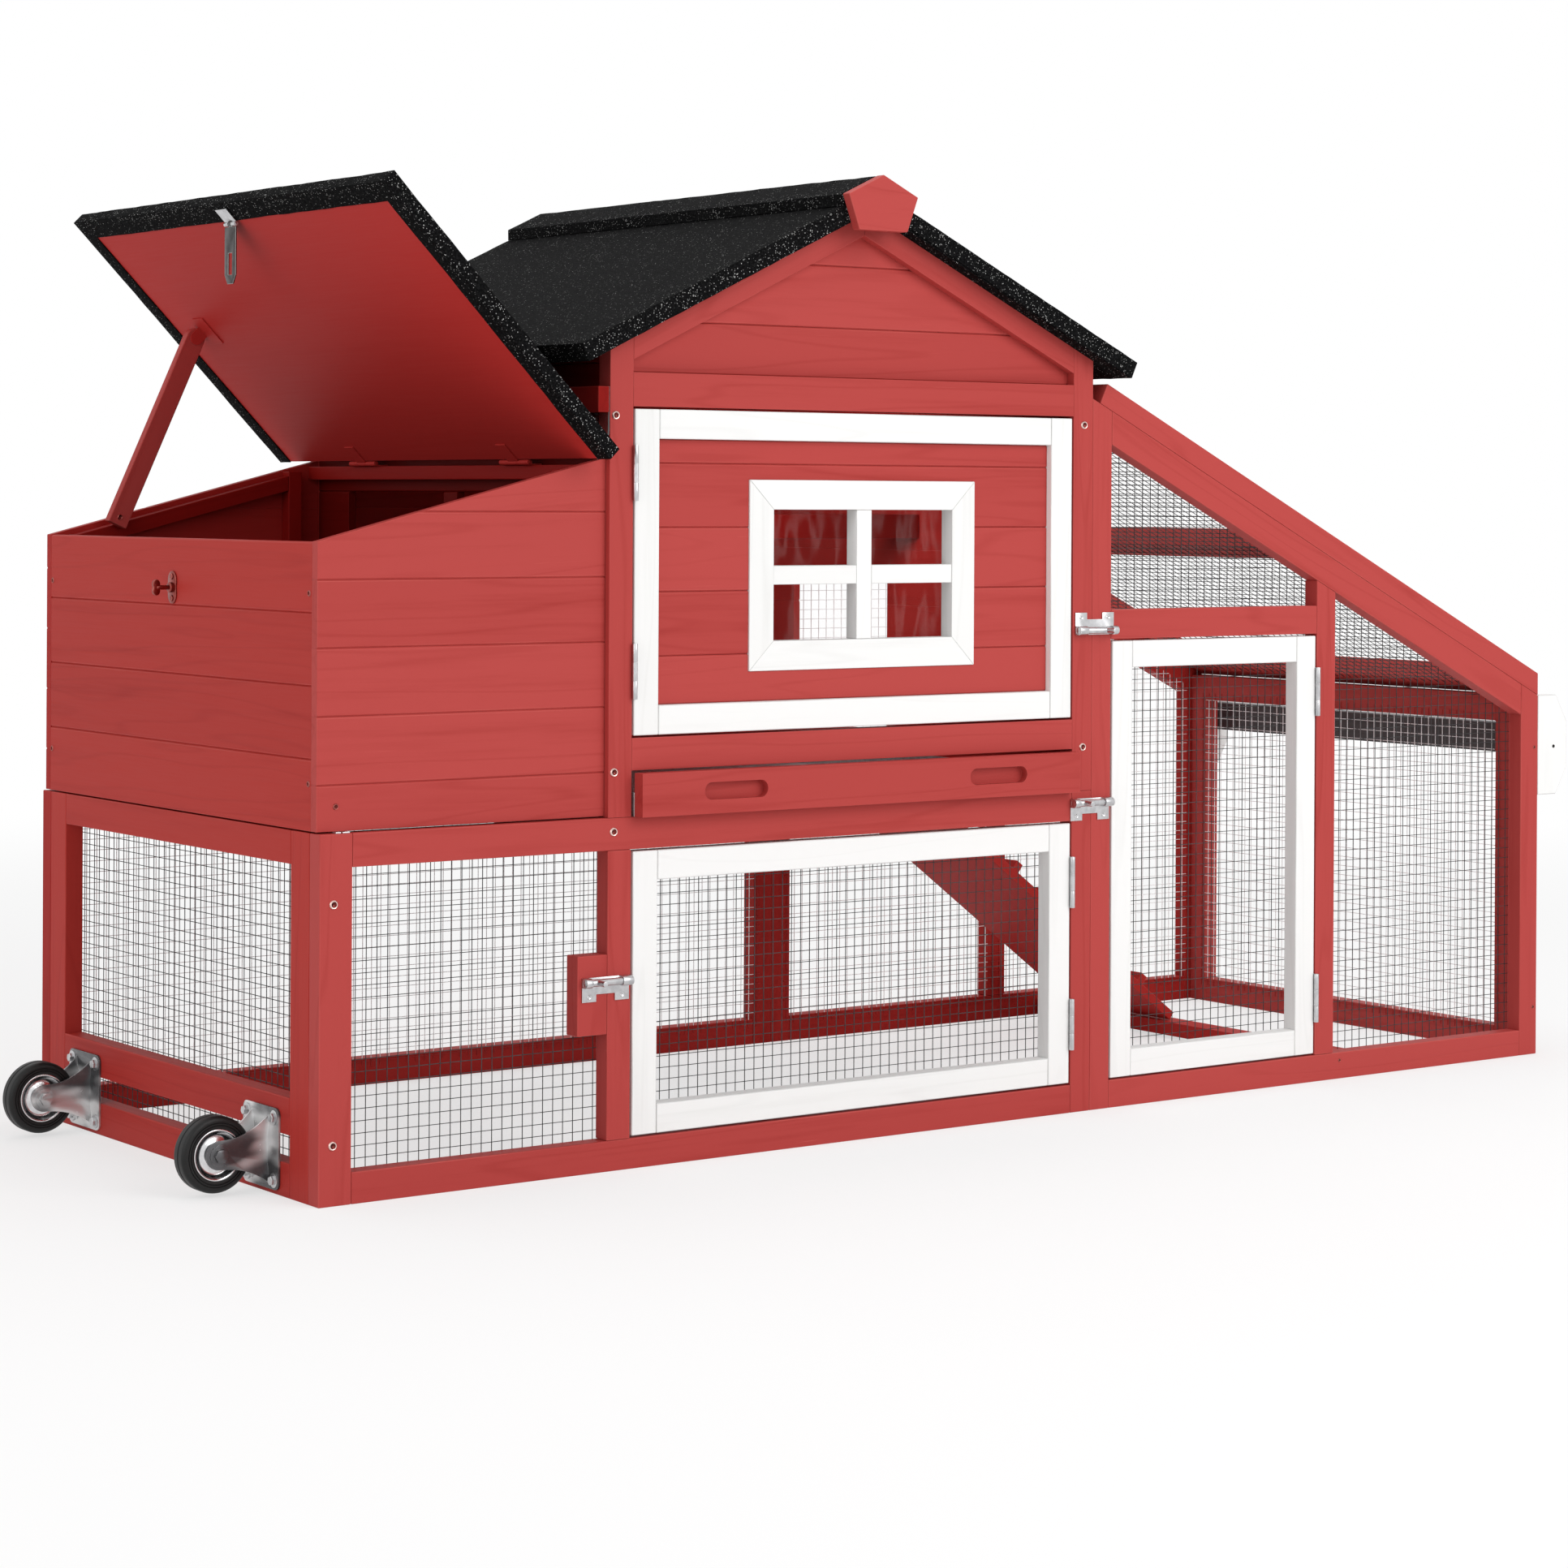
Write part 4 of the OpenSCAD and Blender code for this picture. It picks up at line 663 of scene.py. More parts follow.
def islands(work: bmesh.types.BMesh) -> list[Loop]:
    """Splits geometry into its separate pieces.

    Args:
        work: The geometry.

    Returns:
        The vertices of each piece, in a steady order.
    """
    seen: set[int] = set()
    found = []
    work.verts.index_update()
    for start in work.verts:
        if start.index in seen:
            continue
        seen.add(start.index)
        group = [start]
        for vert in group:
            for edge in vert.link_edges:
                other = edge.other_vert(vert)
                if other.index not in seen:
                    seen.add(other.index)
                    group.append(other)
        found.append(group)
    return found


def soften(work: bmesh.types.BMesh, radius: float, sharp: float = 28.0) -> list[bmesh.types.BMFace]:
    """Rounds the sharp edges.

    Args:
        work: The geometry.
        radius: Width of the rounding.
        sharp: Least angle of a sharp edge, in degrees.

    Returns:
        The new faces along the edges.
    """
    limit = math.radians(sharp)
    edges = [e for e in work.edges if e.is_manifold and e.calc_face_angle(0.0) > limit]
    result = bmesh.ops.bevel(
        work, geom=edges, offset=radius, offset_type="OFFSET", segments=2, profile=0.5,
        affect="EDGES", clamp_overlap=True)
    return result["faces"]


def take(work: bmesh.types.BMesh, wanted: Callable[[np.ndarray], bool]) -> bmesh.types.BMesh:
    """Moves some of the separate pieces to geometry of their own.

    Args:
        work: The geometry, which loses them.
        wanted: Tells from a piece's points whether it goes.

    Returns:
        The pieces that went.
    """
    gone = {vert.index for group in islands(work) if wanted(spots_of(group)) for vert in group}
    taken = work.copy()
    for side, keep in ((work, False), (taken, True)):
        side.verts.index_update()
        extra = [v for v in side.verts if (v.index in gone) is not keep]
        bmesh.ops.delete(side, geom=extra, context="VERTS")
    return taken


def ease(work: bmesh.types.BMesh, radius: float) -> None:
    """Rounds the sharp edges and marks the new faces as rim.

    Args:
        work: The geometry.
        radius: Width of the rounding.
    """
    rim = work.faces.layers.float.new("rim")
    for face in soften(work, radius):
        face[rim] = 1.0


def lay_grain(work: bmesh.types.BMesh, radius: float, seed: str, spread: float = 40.0) -> None:
    """Eases the edges, and stores each board's own coordinates and tone as attributes.

    Args:
        work: The boards.
        radius: Width of the eased edges.
        seed: Seeds the boards' differences.
        spread: How far apart in the pattern the boards are read.
    """
    draw = random.Random(seed)
    board = work.verts.layers.float_vector.new("board")
    tone = work.verts.layers.float.new("tone")
    ease(work, radius)
    for group in islands(work):
        spots = spots_of(group)
        middle = spots.mean(axis=0)
        axes = np.linalg.svd(spots - middle, full_matrices=False)[2]
        turn = Matrix([Vector(a) for a in axes])
        shift = Vector([draw.uniform(0.0, spread) for _ in range(3)])
        shade = draw.uniform(*TONES)
        for vert in group:
            vert[board] = turn @ (vert.co - Vector(middle)) + shift
            vert[tone] = shade


def bridge(work: bmesh.types.BMesh, first: Loop, second: Loop) -> list[bmesh.types.BMFace]:
    """Joins two closed loops of points with a band of faces.

    Args:
        work: The geometry that holds them.
        first: One loop.
        second: The other, point for point.

    Returns:
        The band's faces, in order.
    """
    count = len(first)
    pairs = [(i, (i + 1) % count) for i in range(count)]
    return [work.faces.new((first[i], first[j], second[j], second[i])) for i, j in pairs]


def close_prism(work: bmesh.types.BMesh, loops: list[Loop]) -> None:
    """Joins loops of points from foot to top and closes both ends.

    Args:
        work: The geometry that holds them.
        loops: The loops, from the foot up.
    """
    for lower, upper in zip(loops, loops[1:]):
        bridge(work, lower, upper)
    work.faces.new(loops[-1])
    work.faces.new(list(reversed(loops[0])))


def weave(work: bmesh.types.BMesh, rows: list[Loop]) -> list[list[bmesh.types.BMFace]]:
    """Joins rows of points into a sheet.

    Args:
        work: The geometry that holds them.
        rows: The rows, all of one length.

    Returns:
        The sheet's faces, row by row.
    """
    sheet = []
    for near, far in zip(rows, rows[1:]):
        cells = range(len(near) - 1)
        sheet.append([work.faces.new((near[i], near[i + 1], far[i + 1], far[i])) for i in cells])
    return sheet


def lathe(profile: Section, centre: Vector, steps: int) -> bmesh.types.BMesh:
    """Turns a closed profile about the Y axis.

    Args:
        profile: Radius and place along the axis of each point, in order round the section.
        centre: The axis point.
        steps: Faces round the axis.

    Returns:
        The turned geometry.
    """
    work = bmesh.new()
    rings = []
    for i in range(steps):
        angle = FULL_TURN * i / steps
        turn = Vector((math.cos(angle), 0.0, math.sin(angle)))
        rings.append([work.verts.new(centre + turn * r + Vector((0.0, y, 0.0))) for r, y in profile])
    for here, there in zip(rings, rings[1:] + rings[:1]):
        bridge(work, there, here)
    bmesh.ops.recalc_face_normals(work, faces=work.faces)
    return work


class Model:
    """The loaded frame, the finishes, and the one way that pieces join them."""

    def __init__(self) -> None:
        """Loads the frame."""
        self.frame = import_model()
        self.cad_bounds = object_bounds()
        record = self.frame["record"]
        self.body_of = {n: b for b, nodes in record["behaviour"]["bodies"].items() for n in nodes}
        self.slot_of = {s["node"]: Slot(s["material_slot"]) for s in record["subparts"]}
        self.coats: dict[str, bpy.types.Material] = {}

    def nodes_of(self, slot: Slot) -> list[str]:
        """Names of the nodes of one slot, in order."""
        return sorted(n for n, s in self.slot_of.items() if s is slot)

    def coat(self, finish: Finish) -> bpy.types.Material:
        """Material of a finish, which is built once.

        Args:
            finish: The finish.

        Returns:
            Its material.
        """
        if finish.name not in self.coats:
            self.coats[finish.name] = finish.build()
        return self.coats[finish.name]

    def add(
        self, name: str, mesh: bpy.types.Mesh, body: str, slot: Slot, finish: Finish | None = None,
    ) -> bpy.types.Object:
        """Links a mesh as a piece of the model.

        Args:
            name: The piece's name.
            mesh: Its mesh, in the shared frame.
            body: The body that it rides on.
            slot: Its material slot.
            finish: Its finish, if it isn't the slot's usual one.

        Returns:
            The piece.
        """
        piece = bpy.data.objects.new(name, mesh)
        bpy.context.scene.collection.objects.link(piece)
        mesh.materials.append(self.coat(finish or FINISHES[slot]))
        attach(piece, body)
        LOG.info("%s rides on %s: %d faces", name, body, len(mesh.polygons))
        return piece

    def copy_of(self, node: str) -> bmesh.types.BMesh:
        """A welded copy of a node's mesh, with flat faces made whole.

        Args:
            node: The node's name.

        Returns:
            The copy, which the caller frees.
        """
        work = bmesh.new()
        work.from_mesh(self.frame["nodes"][node].data)
        bmesh.ops.remove_doubles(work, verts=work.verts, dist=WELD)
        bmesh.ops.dissolve_limit(work, angle_limit=FLAT_ANGLE, verts=work.verts, edges=work.edges)
        return work


@dataclass
class Carpenter:
    """Dresses timber nodes as boards with their own grain, tone and eased edges."""

    model: Model
    edge: float = 1.1 * MM
    board_edge: float = 0.5 * MM
    leaf_edge: float = 0.2 * MM
    leaf_reach: float = 75 * MM
    plate_reach: float = 45 * MM
    bar_reach: float = 300 * MM
    seam_half: float = 0.09 * MM
    foot_gap: float = 1.6 * MM

    CLAD = ("house_front", "house_back_wall", "house_left_wall", "house_right_wall", "nest_front_wall",
            "nest_back_wall", "nest_end_wall", "house_door_boards", "tray_front", "window_frame")
    # Pieces that stand in shade take the *_PAINTED_SHADE finishes: painted shade on the same red paint.
    COATS = {
        "nest_lid": RED_PANEL_PAINTED_SHADE, "roof_boards": RED_PANEL_PAINTED_SHADE, "ramp": RED_PANEL_PAINTED_SHADE,
        "nest_floor": RED_INSIDE_PAINTED_SHADE, "nest_battens": RED_INSIDE_PAINTED_SHADE, "perch": RED_INSIDE_PAINTED_SHADE, "house_left_wall": RED_NEST_WALL_PAINTED_SHADE,
        "nest_end_wall": RED_SIDE_PAINTED_SHADE, "base_end_frame": RED_SIDE_PAINTED_SHADE,
        "base_back_frame": RED_FAR_PAINTED_SHADE, "run_back_frame": RED_FAR_PAINTED_SHADE, "house_back_wall": RED_FAR_PAINTED_SHADE,
        "house_right_wall": RED_FAR_PAINTED_SHADE, "nest_back_wall": RED_FAR_PAINTED_SHADE,
    }
    WITH_LEAVES = ("house_door_frame", "lower_door_frame", "run_door_frame")
    NEST_SIDES = ("nest_front_wall", "nest_back_wall")
    NEST_END = "nest_end_wall"
    LATCH = "staple_knob"

    def dress_all(self) -> None:
        """Dresses every red and white node."""
        for slot in (Slot.RED, Slot.WHITE):
            for node in self.model.nodes_of(slot):
                if node != self.LATCH:
                    self.dress(node, slot)

    def dress(self, node: str, slot: Slot) -> None:
        """Dresses one node, and sets its hinge leaves or handle bar apart.

        Args:
            node: The node's name.
            slot: Its paint.
        """
        body = self.model.body_of[node]
        work = self.model.copy_of(node)
        if node in self.WITH_LEAVES:
            leaves = take(work, lambda spots: np.ptp(spots, axis=0).max() < self.leaf_reach)
            ease(leaves, self.leaf_edge)
            self.model.add(node + "_leaves", to_mesh(leaves, node + "_leaves"), body, Slot.ZINC)
        if node == "carry_handle":
            bar = take(work, lambda spots: np.ptp(spots, axis=0)[1] > self.bar_reach)
            lay_grain(bar, self.edge, "carry_bar")
            self.model.add("carry_bar", to_mesh(bar, "carry_bar"), body, slot, GREY_PAINT)
        if node == self.NEST_END:
            take(work, lambda spots: np.ptp(spots, axis=0).max() < self.plate_reach).free()
        if node.endswith("_wall"):
            self.close_seams(work)
        if node == "run_roof_frame":
            self.cut_plumb(work)
        if node == self.NEST_END or node in self.NEST_SIDES:
            self.lap_corner(work, node)
        lay_grain(work, self.board_edge if node in self.CLAD else self.edge, node)
        mesh = to_mesh(work, node + "_timber")
        piece = self.model.add(node + "_timber", mesh, body, slot, self.COATS.get(node))
        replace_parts(piece, node)

    def close_seams(self, work: bmesh.types.BMesh) -> None:
        """Widens each board to its neighbours, as its tongue does, so that no light shows between them.

        Args:
            work: The wall's boards. The wall's top edge stays.
        """
        top = max(v.co.z for v in work.verts)
        for group in islands(work):
            low = min(v.co.z for v in group)
            high = max(v.co.z for v in group)
            for vert in group:
                if vert.co.z > top - TOUCH:
                    continue
                if vert.co.z > high - TOUCH:
                    vert.co.z += self.seam_half
                elif vert.co.z < low + TOUCH:
                    vert.co.z -= self.seam_half

    def cut_plumb(self, work: bmesh.types.BMesh) -> None:
        """Cuts the low ends of a sloping frame plumb, back to their lower corners.

        Args:
            work: The frame's laths.
        """
        longest = max(work.edges, key=lambda edge: edge.calc_length())
        first, last = sorted((v.co.copy() for v in longest.verts), key=lambda spot: spot.x)
        along = (last - first).normalized()
        reach = max(v.co.dot(along) for v in work.verts)
        limit = min(v.co.x for v in work.verts if v.co.dot(along) > reach - NEAR)
        for vert in work.verts:
            if vert.co.x > limit:
                vert.co += along * ((limit - vert.co.x) / along.x)

    def lap_corner(self, work: bmesh.types.BMesh, node: str) -> None:
        """Runs the nest's side boards over the ends of its end boards, with a thin gap under them all.

        Args:
            work: The wall's boards.
            node: The wall's name.
        """
        side_low, side_high = corners(self.NEST_SIDES[0])
        outer = corners(self.NEST_END)[1].x - (side_high.y - side_low.y)
        spots = [v.co.copy() for v in work.verts]
        peak = max(spots, key=lambda spot: spot.z)
        foot = max((s for s in spots if s.x < side_low.x + NEAR), key=lambda spot: spot.z)
        for vert in work.verts:
            if node not in self.NEST_SIDES:
                vert.co.y = max(side_high.y, min(-side_high.y, vert.co.y))
            elif vert.co.x < side_low.x + NEAR:
                if vert.co.z > foot.z - NEAR:
                    vert.co.z += (outer - vert.co.x) * (peak.z - foot.z) / (peak.x - foot.x)
                vert.co.x = outer
            if vert.co.z < side_low.z + NEAR:
                vert.co.z = side_low.z + self.foot_gap


@dataclass(frozen=True)
class Slope:
    """Underside of one roof slope: the middle of its eave, the ways up it and square down from it."""

    foot: Vector
    along: Vector
    down: Vector
    length: float


@dataclass
class Roofer:
    """Dresses the felt skins with a rough surface and uneven edges."""

    model: Model
    cell: float = 13 * MM
    rough: float = 0.5 * MM
    wave: float = 45.0
    ripple: float = 160.0
    ripple_share: float = 0.6
    sink: float = 0.6
    edge: float = 0.8 * MM
    crease: float = 40.0
    shed: float = 26 * MM
    hem: float = 7 * MM
    hem_near: float = 0.3 * MM
    hem_before: float = 4 * MM
    hem_past: float = 1 * MM
    under_start: float = 0.2 * MM
    under_gap: float = 0.3 * MM
    under_short: float = 1 * MM
    under_grit: float = 0.7
    ridge_near: float = 1 * MM

    def dress_all(self) -> None:
        """Dresses every felt node, and turns the roof's felt under its overhangs."""
        for node in self.model.nodes_of(Slot.FELT):
            self.dress(node)
        self.turn_under()

    def dress(self, node: str) -> None:
        """Cuts one skin into small cells and unsettles them.

        Args:
            node: The node's name.
        """
        work = self.model.copy_of(node)
        if node == "roof_felt":
            self.deepen_hem(work)
        soften(work, self.edge)
        low, high = (np.array(c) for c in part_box(node))
        for axis in (0, 1):
            normal = Vector([1.0 if i == axis else 0.0 for i in range(3)])
            count = int((high[axis] - low[axis]) / self.cell)
            for i in range(1, count):
                spot = Vector(low) + normal * (i * (high[axis] - low[axis]) / count)
                geometry = work.verts[:] + work.edges[:] + work.faces[:]
                bmesh.ops.bisect_plane(work, geom=geometry, dist=WELD, plane_co=spot, plane_no=normal)
        work.normal_update()
        moves = []
        for vert in work.verts:
            lift = noise.noise(vert.co * self.wave) + self.ripple_share * noise.noise(vert.co * self.ripple)
            moves.append(vert.normal * (self.rough * (lift - self.sink)))
        for vert, move in zip(work.verts, moves):
            vert.co += move
        self.mark_edges(work, low, high)
        mesh = to_mesh(work, node + "_skin", sharp=self.crease)
        piece = self.model.add(node + "_skin", mesh, self.model.body_of[node], Slot.FELT)
        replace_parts(piece, node)

    def deepen_hem(self, work: bmesh.types.BMesh) -> None:
        """Draws the lower edge of the roof's skin down past the boards.

        Args:
            work: The roof's skin.
        """
        for slope in self.slopes():
            for vert in work.verts:
                spot = vert.co - slope.foot
                level = abs(spot.dot(slope.down)) < self.hem_near
                if level and -self.hem_before < spot.dot(slope.along) < slope.length + self.hem_past:
                    vert.co += slope.down * self.hem

    def mark_edges(self, work: bmesh.types.BMesh, low: np.ndarray, high: np.ndarray) -> None:
        """Stores how near each point is to the skin's edges, where the grit shows most.

        Args:
            work: The skin.
            low: Its lowest corner.
            high: Its highest corner.
        """
        edge = work.verts.layers.float.new("edge")
        for vert in work.verts:
            spot = np.array(vert.co)[:2]
            near = min((spot - low[:2]).min(), (high[:2] - spot).min())
            vert[edge] = max(0.0, 1.0 - near / self.shed)

    def slopes(self) -> list[Slope]:
        """Undersides of the two roof slopes.

        Returns:
            The left slope and the right slope.
        """
        work = self.model.copy_of("roof_boards")
        spots = spots_of(work.verts)
        work.free()
        middle = spots[:, 0].mean()
        foot_z = spots[:, 2].min()
        top_z = spots[np.abs(spots[:, 0] - middle) < self.ridge_near][:, 2].min()
        feet = spots[spots[:, 2] < foot_z + NEAR][:, 0]
        found = []
        for foot_x in (feet.min(), feet.max()):
            along = Vector((middle - foot_x, 0.0, top_z - foot_z))
            length = along.length
            along.normalize()
            down = Vector((along.z * math.copysign(1.0, along.x), 0.0, -abs(along.x)))
            found.append(Slope(Vector((foot_x, 0.0, foot_z)), along, down, length))
        return found

    def turn_under(self) -> None:
        """Felt on the undersides of the gable and eave overhangs."""
        boards_low, boards_high = corners("roof_boards")
        house_low, house_high = corners("house_front")
        front = house_low.y - self.under_gap
        back = corners("house_back_wall")[1].y + self.under_gap
        work = bmesh.new()
        for slope in self.slopes():
            wall = house_low.x if slope.along.x > 0.0 else house_high.x
            reach = (wall - slope.foot.x) / slope.along.x - self.under_short
            strips = (
                (slope.length, boards_low.y, front),
                (slope.length, back, boards_high.y),
                (reach, front, back),
            )
            for end, near, far in strips:
                for vert in bmesh.ops.create_cube(work, size=1.0)["verts"]:
                    run = 0.0 if vert.co.x < 0.0 else end
                    drop = self.under_start if vert.co.z > 0.0 else self.hem - self.under_gap
                    spot = slope.foot + slope.along * run + slope.down * drop
                    vert.co = Vector((spot.x, near if vert.co.y < 0.0 else far, spot.z))
        bmesh.ops.recalc_face_normals(work, faces=work.faces)
        edge = work.verts.layers.float.new("edge")
        for vert in work.verts:
            vert[edge] = self.under_grit
        self.model.add("roof_felt_under", to_mesh(work, "roof_felt_under"), "frame", Slot.FELT)


@dataclass
class Smith:
    """Dresses the plated fittings, the tray pan and the wire nets."""

    model: Model
    edge: float = 0.25 * MM
    paint_edge: float = 0.3 * MM
    crease: float = 35.0
    fold_rise: float = 16 * MM
    fold_drop: float = 12 * MM
    flare: float = 0.24
    flare_from: float = 0.12
    cheek_reach: float = 6 * MM
    hasp_half: float = 30 * MM
    post_least: float = 200 * MM
    post_width: float = 60 * MM

    WHEEL_PARTS = ("front_hub", "rear_hub")
    WITH_PAINTED = ("hinge_leaves", "lid_fittings")
    PLATING = {"casters": CASTER_ZINC_PAINTED_REFLECTION, "hasp_strap": HASP_STEEL}
    FAR_NETS = {"base_back_net": "base_back_frame", "run_back_net": "run_back_frame", "run_end_net": None}

    def dress_all(self) -> None:
        """Eases the edges of the fittings and gives the nets their wire."""
        for slot in (Slot.ZINC, Slot.PAN):
            for node in self.model.nodes_of(slot):
                if node not in self.WHEEL_PARTS:
                    self.dress(node, slot)
        for node in self.model.nodes_of(Slot.WIRE):
            wire = self.model.coat(self.far_wire(node) if node in self.FAR_NETS else WIRE)
            for holder in self.model.frame["nodes"][node].material_slots:
                holder.material = wire
            LOG.info("%s keeps its wires", node)

    def dress(self, node: str, slot: Slot) -> None:
        """Eases one fitting's edges, and sets apart what is painted with the lid.

        Args:
            node: The node's name.
            slot: Its plating.
        """
        body = self.model.body_of[node]
        work = self.model.copy_of(node)
        if node in self.WITH_PAINTED:
            painted = take(work, self.is_painted)
            lay_grain(painted, self.paint_edge, node)
            mesh = to_mesh(painted, node + "_painted")
            self.model.add(node + "_painted", mesh, body, slot, RED_PANEL_PAINTED_SHADE)
        if node == "casters":
            self.flare_cheeks(work)
        ease(work, self.edge)
        mesh = to_mesh(work, node + "_fitting", sharp=self.crease)
        piece = self.model.add(node + "_fitting", mesh, body, slot, self.PLATING.get(node))
        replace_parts(piece, node)

    def far_wire(self, node: str) -> NetWire:
        """Wire of a far net, drawn bright as painted light, and painted red where it crosses its frame.

        Args:
            node: The net's name.

        Returns:
            The finish.
        """
        low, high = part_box(node)
        posts = []
        frame = self.FAR_NETS[node]
        if frame:
            work = self.model.copy_of(frame)
            for group in islands(work):
                spots = spots_of(group)
                size = np.ptp(spots, axis=0)
                if size[2] > self.post_least and size[0] < self.post_width:
                    posts.append((float(spots[:, 0].min()), float(spots[:, 0].max())))
            work.free()
        return replace(
            LIT_FAR_WIRE, name=node + "_wire", low=tuple(low), high=tuple(high), posts=tuple(posts))

    def is_painted(self, spots: np.ndarray) -> bool:
        """Whether a small fitting belongs to the lid's hinges or prop, which are painted with the lid."""
        middle = spots.mean(axis=0)
        return middle[0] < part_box("house_front")[0][0] and abs(middle[1]) > self.hasp_half

    def flare_cheeks(self, work: bmesh.types.BMesh) -> None:
        """Bends the upper and lower parts of each caster cheek outwards, more towards its plate.

        Args:
            work: The casters' geometry.
        """
        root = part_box("casters")[1][0]
        for wheel in ("front_tyre", "rear_tyre"):
            low, high = corners(wheel)
            axle = (low + high) / 2.0
            reach = root - axle.x
            half = (high.y - low.y) / 2.0
            for rise in (self.fold_rise, -self.fold_drop):
                normal = Vector((-rise, 0.0, reach)).normalized()
                side = [f for f in work.faces if abs(f.calc_center_median().y - axle.y) < half * 2.0]
                edges = list({e for f in side for e in f.edges})
                points = list({v for f in side for v in f.verts})
                bmesh.ops.bisect_plane(
                    work, geom=side + edges + points, dist=WELD, plane_co=axle, plane_no=normal)
            for vert in work.verts:
                away = vert.co.y - axle.y
                share = (vert.co.x - axle.x) / reach
                on_cheek = half < abs(away) < half + self.cheek_reach
                if on_cheek and self.flare_from <= share <= 1.0:
                    height = vert.co.z - axle.z
                    past = max(height - self.fold_rise * share, -height - self.fold_drop * share, 0.0)
                    vert.co.y += math.copysign(self.flare * past * share, away)


@dataclass
class Wheels:
    """Tyres with rounded shoulders and side rings, and pressed hubs."""

    model: Model
    steps: int = 72
    crease: float = 50.0
    fit: float = 0.05 * MM
    shoulder: float = 5 * MM
    shoulder_steps: int = 5
    ring: float = 0.9 * MM
    ring_shares: tuple[float, ...] = (0.22, 0.42)
    bead_drop: float = 0.4 * MM
    bead_width: float = 0.6 * MM
    groove_half: float = 0.12
    groove_foot: float = 0.06
    bore: float = 4.05 * MM
    boss: float = 10 * MM
    dish: float = 4.5 * MM
    lip: float = 1.6 * MM

    def build(self) -> None:
        """Turns both wheels."""
        for name in ("front", "rear"):
            self.turn(name)

    def turn(self, name: str) -> None:
        """Turns one tyre and its hub.

        Args:
            name: front or rear.
        """
        low, high = corners(name + "_tyre")
        hub_low, hub_high = corners(name + "_hub")
        centre = (low + high) / 2.0
        outer = (high.x - low.x) / 2.0
        hub = (hub_high.x - hub_low.x) / 2.0
        half = (high.y - low.y) / 2.0
        body = self.model.body_of[name + "_tyre"]
        for node, side, slot, finish in (
            (name + "_tyre", self.tyre_side(outer, hub + self.fit, half), Slot.RUBBER, None),
            (name + "_hub", self.hub_side(hub, half), Slot.ZINC, HUB_ZINC),
        ):
            profile = side + [(r, -y) for r, y in reversed(side)]
            mesh = to_mesh(lathe(profile, centre, self.steps), node + "_turned", sharp=self.crease)
            piece = self.model.add(node + "_turned", mesh, body, slot, finish)
            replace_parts(piece, node)

    def tyre_side(self, outer: float, inner: float, half: float) -> Section:
        """Half section of the tyre, from its bore to the middle of its tread.

        Args:
            outer: Tread radius.
            inner: Bore radius.
            half: Half width.

        Returns:
            Radius and place of each point.
        """
        ring = self.ring
        side = [(inner, half - self.bead_drop), (inner + self.bead_width, half)]
        for share in self.ring_shares:
            r = inner + (outer - inner) * share
            side += [(r, half), (r + ring * 0.5, half - ring)]
            side += [(r + ring, half - ring), (r + ring * 1.5, half)]
        for i in range(self.shoulder_steps + 1):
            angle = math.pi / 2.0 * i / self.shoulder_steps
            radius = outer - self.shoulder * (1.0 - math.sin(angle))
            side.append((radius, half - self.shoulder * (1.0 - math.cos(angle))))
        return side + [(outer, half * self.groove_half), (outer - ring, half * self.groove_foot)]

    def hub_side(self, hub: float, half: float) -> Section:
        """Half section of the hub, from its bore to its rim.

        Args:
            hub: Rim radius.
            half: Half width.

        Returns:
            Radius and place of each point.
        """
        web = half - self.dish
        boss = self.boss
        return [
            (self.bore, 0.3 * half),
            (self.bore, half),
            (boss - 1.6 * MM, half),
            (boss - 0.6 * MM, half - 0.5 * MM),
            (boss, web + 2.2 * MM),
            (boss + 2.2 * MM, web + 0.9 * MM),
            (hub - 11.0 * MM, web + 0.2 * MM),
            (hub - 9.5 * MM, web - 0.6 * MM),
            (hub - 7.0 * MM, web - 0.6 * MM),
            (hub - 5.5 * MM, web),
            (hub - self.lip - 1.2 * MM, half - 1.4 * MM),
            (hub - self.lip, half),
            (hub - 0.5 * MM, half),
            (hub, half - 0.5 * MM),
            (hub, 0.3 * half),
        ]


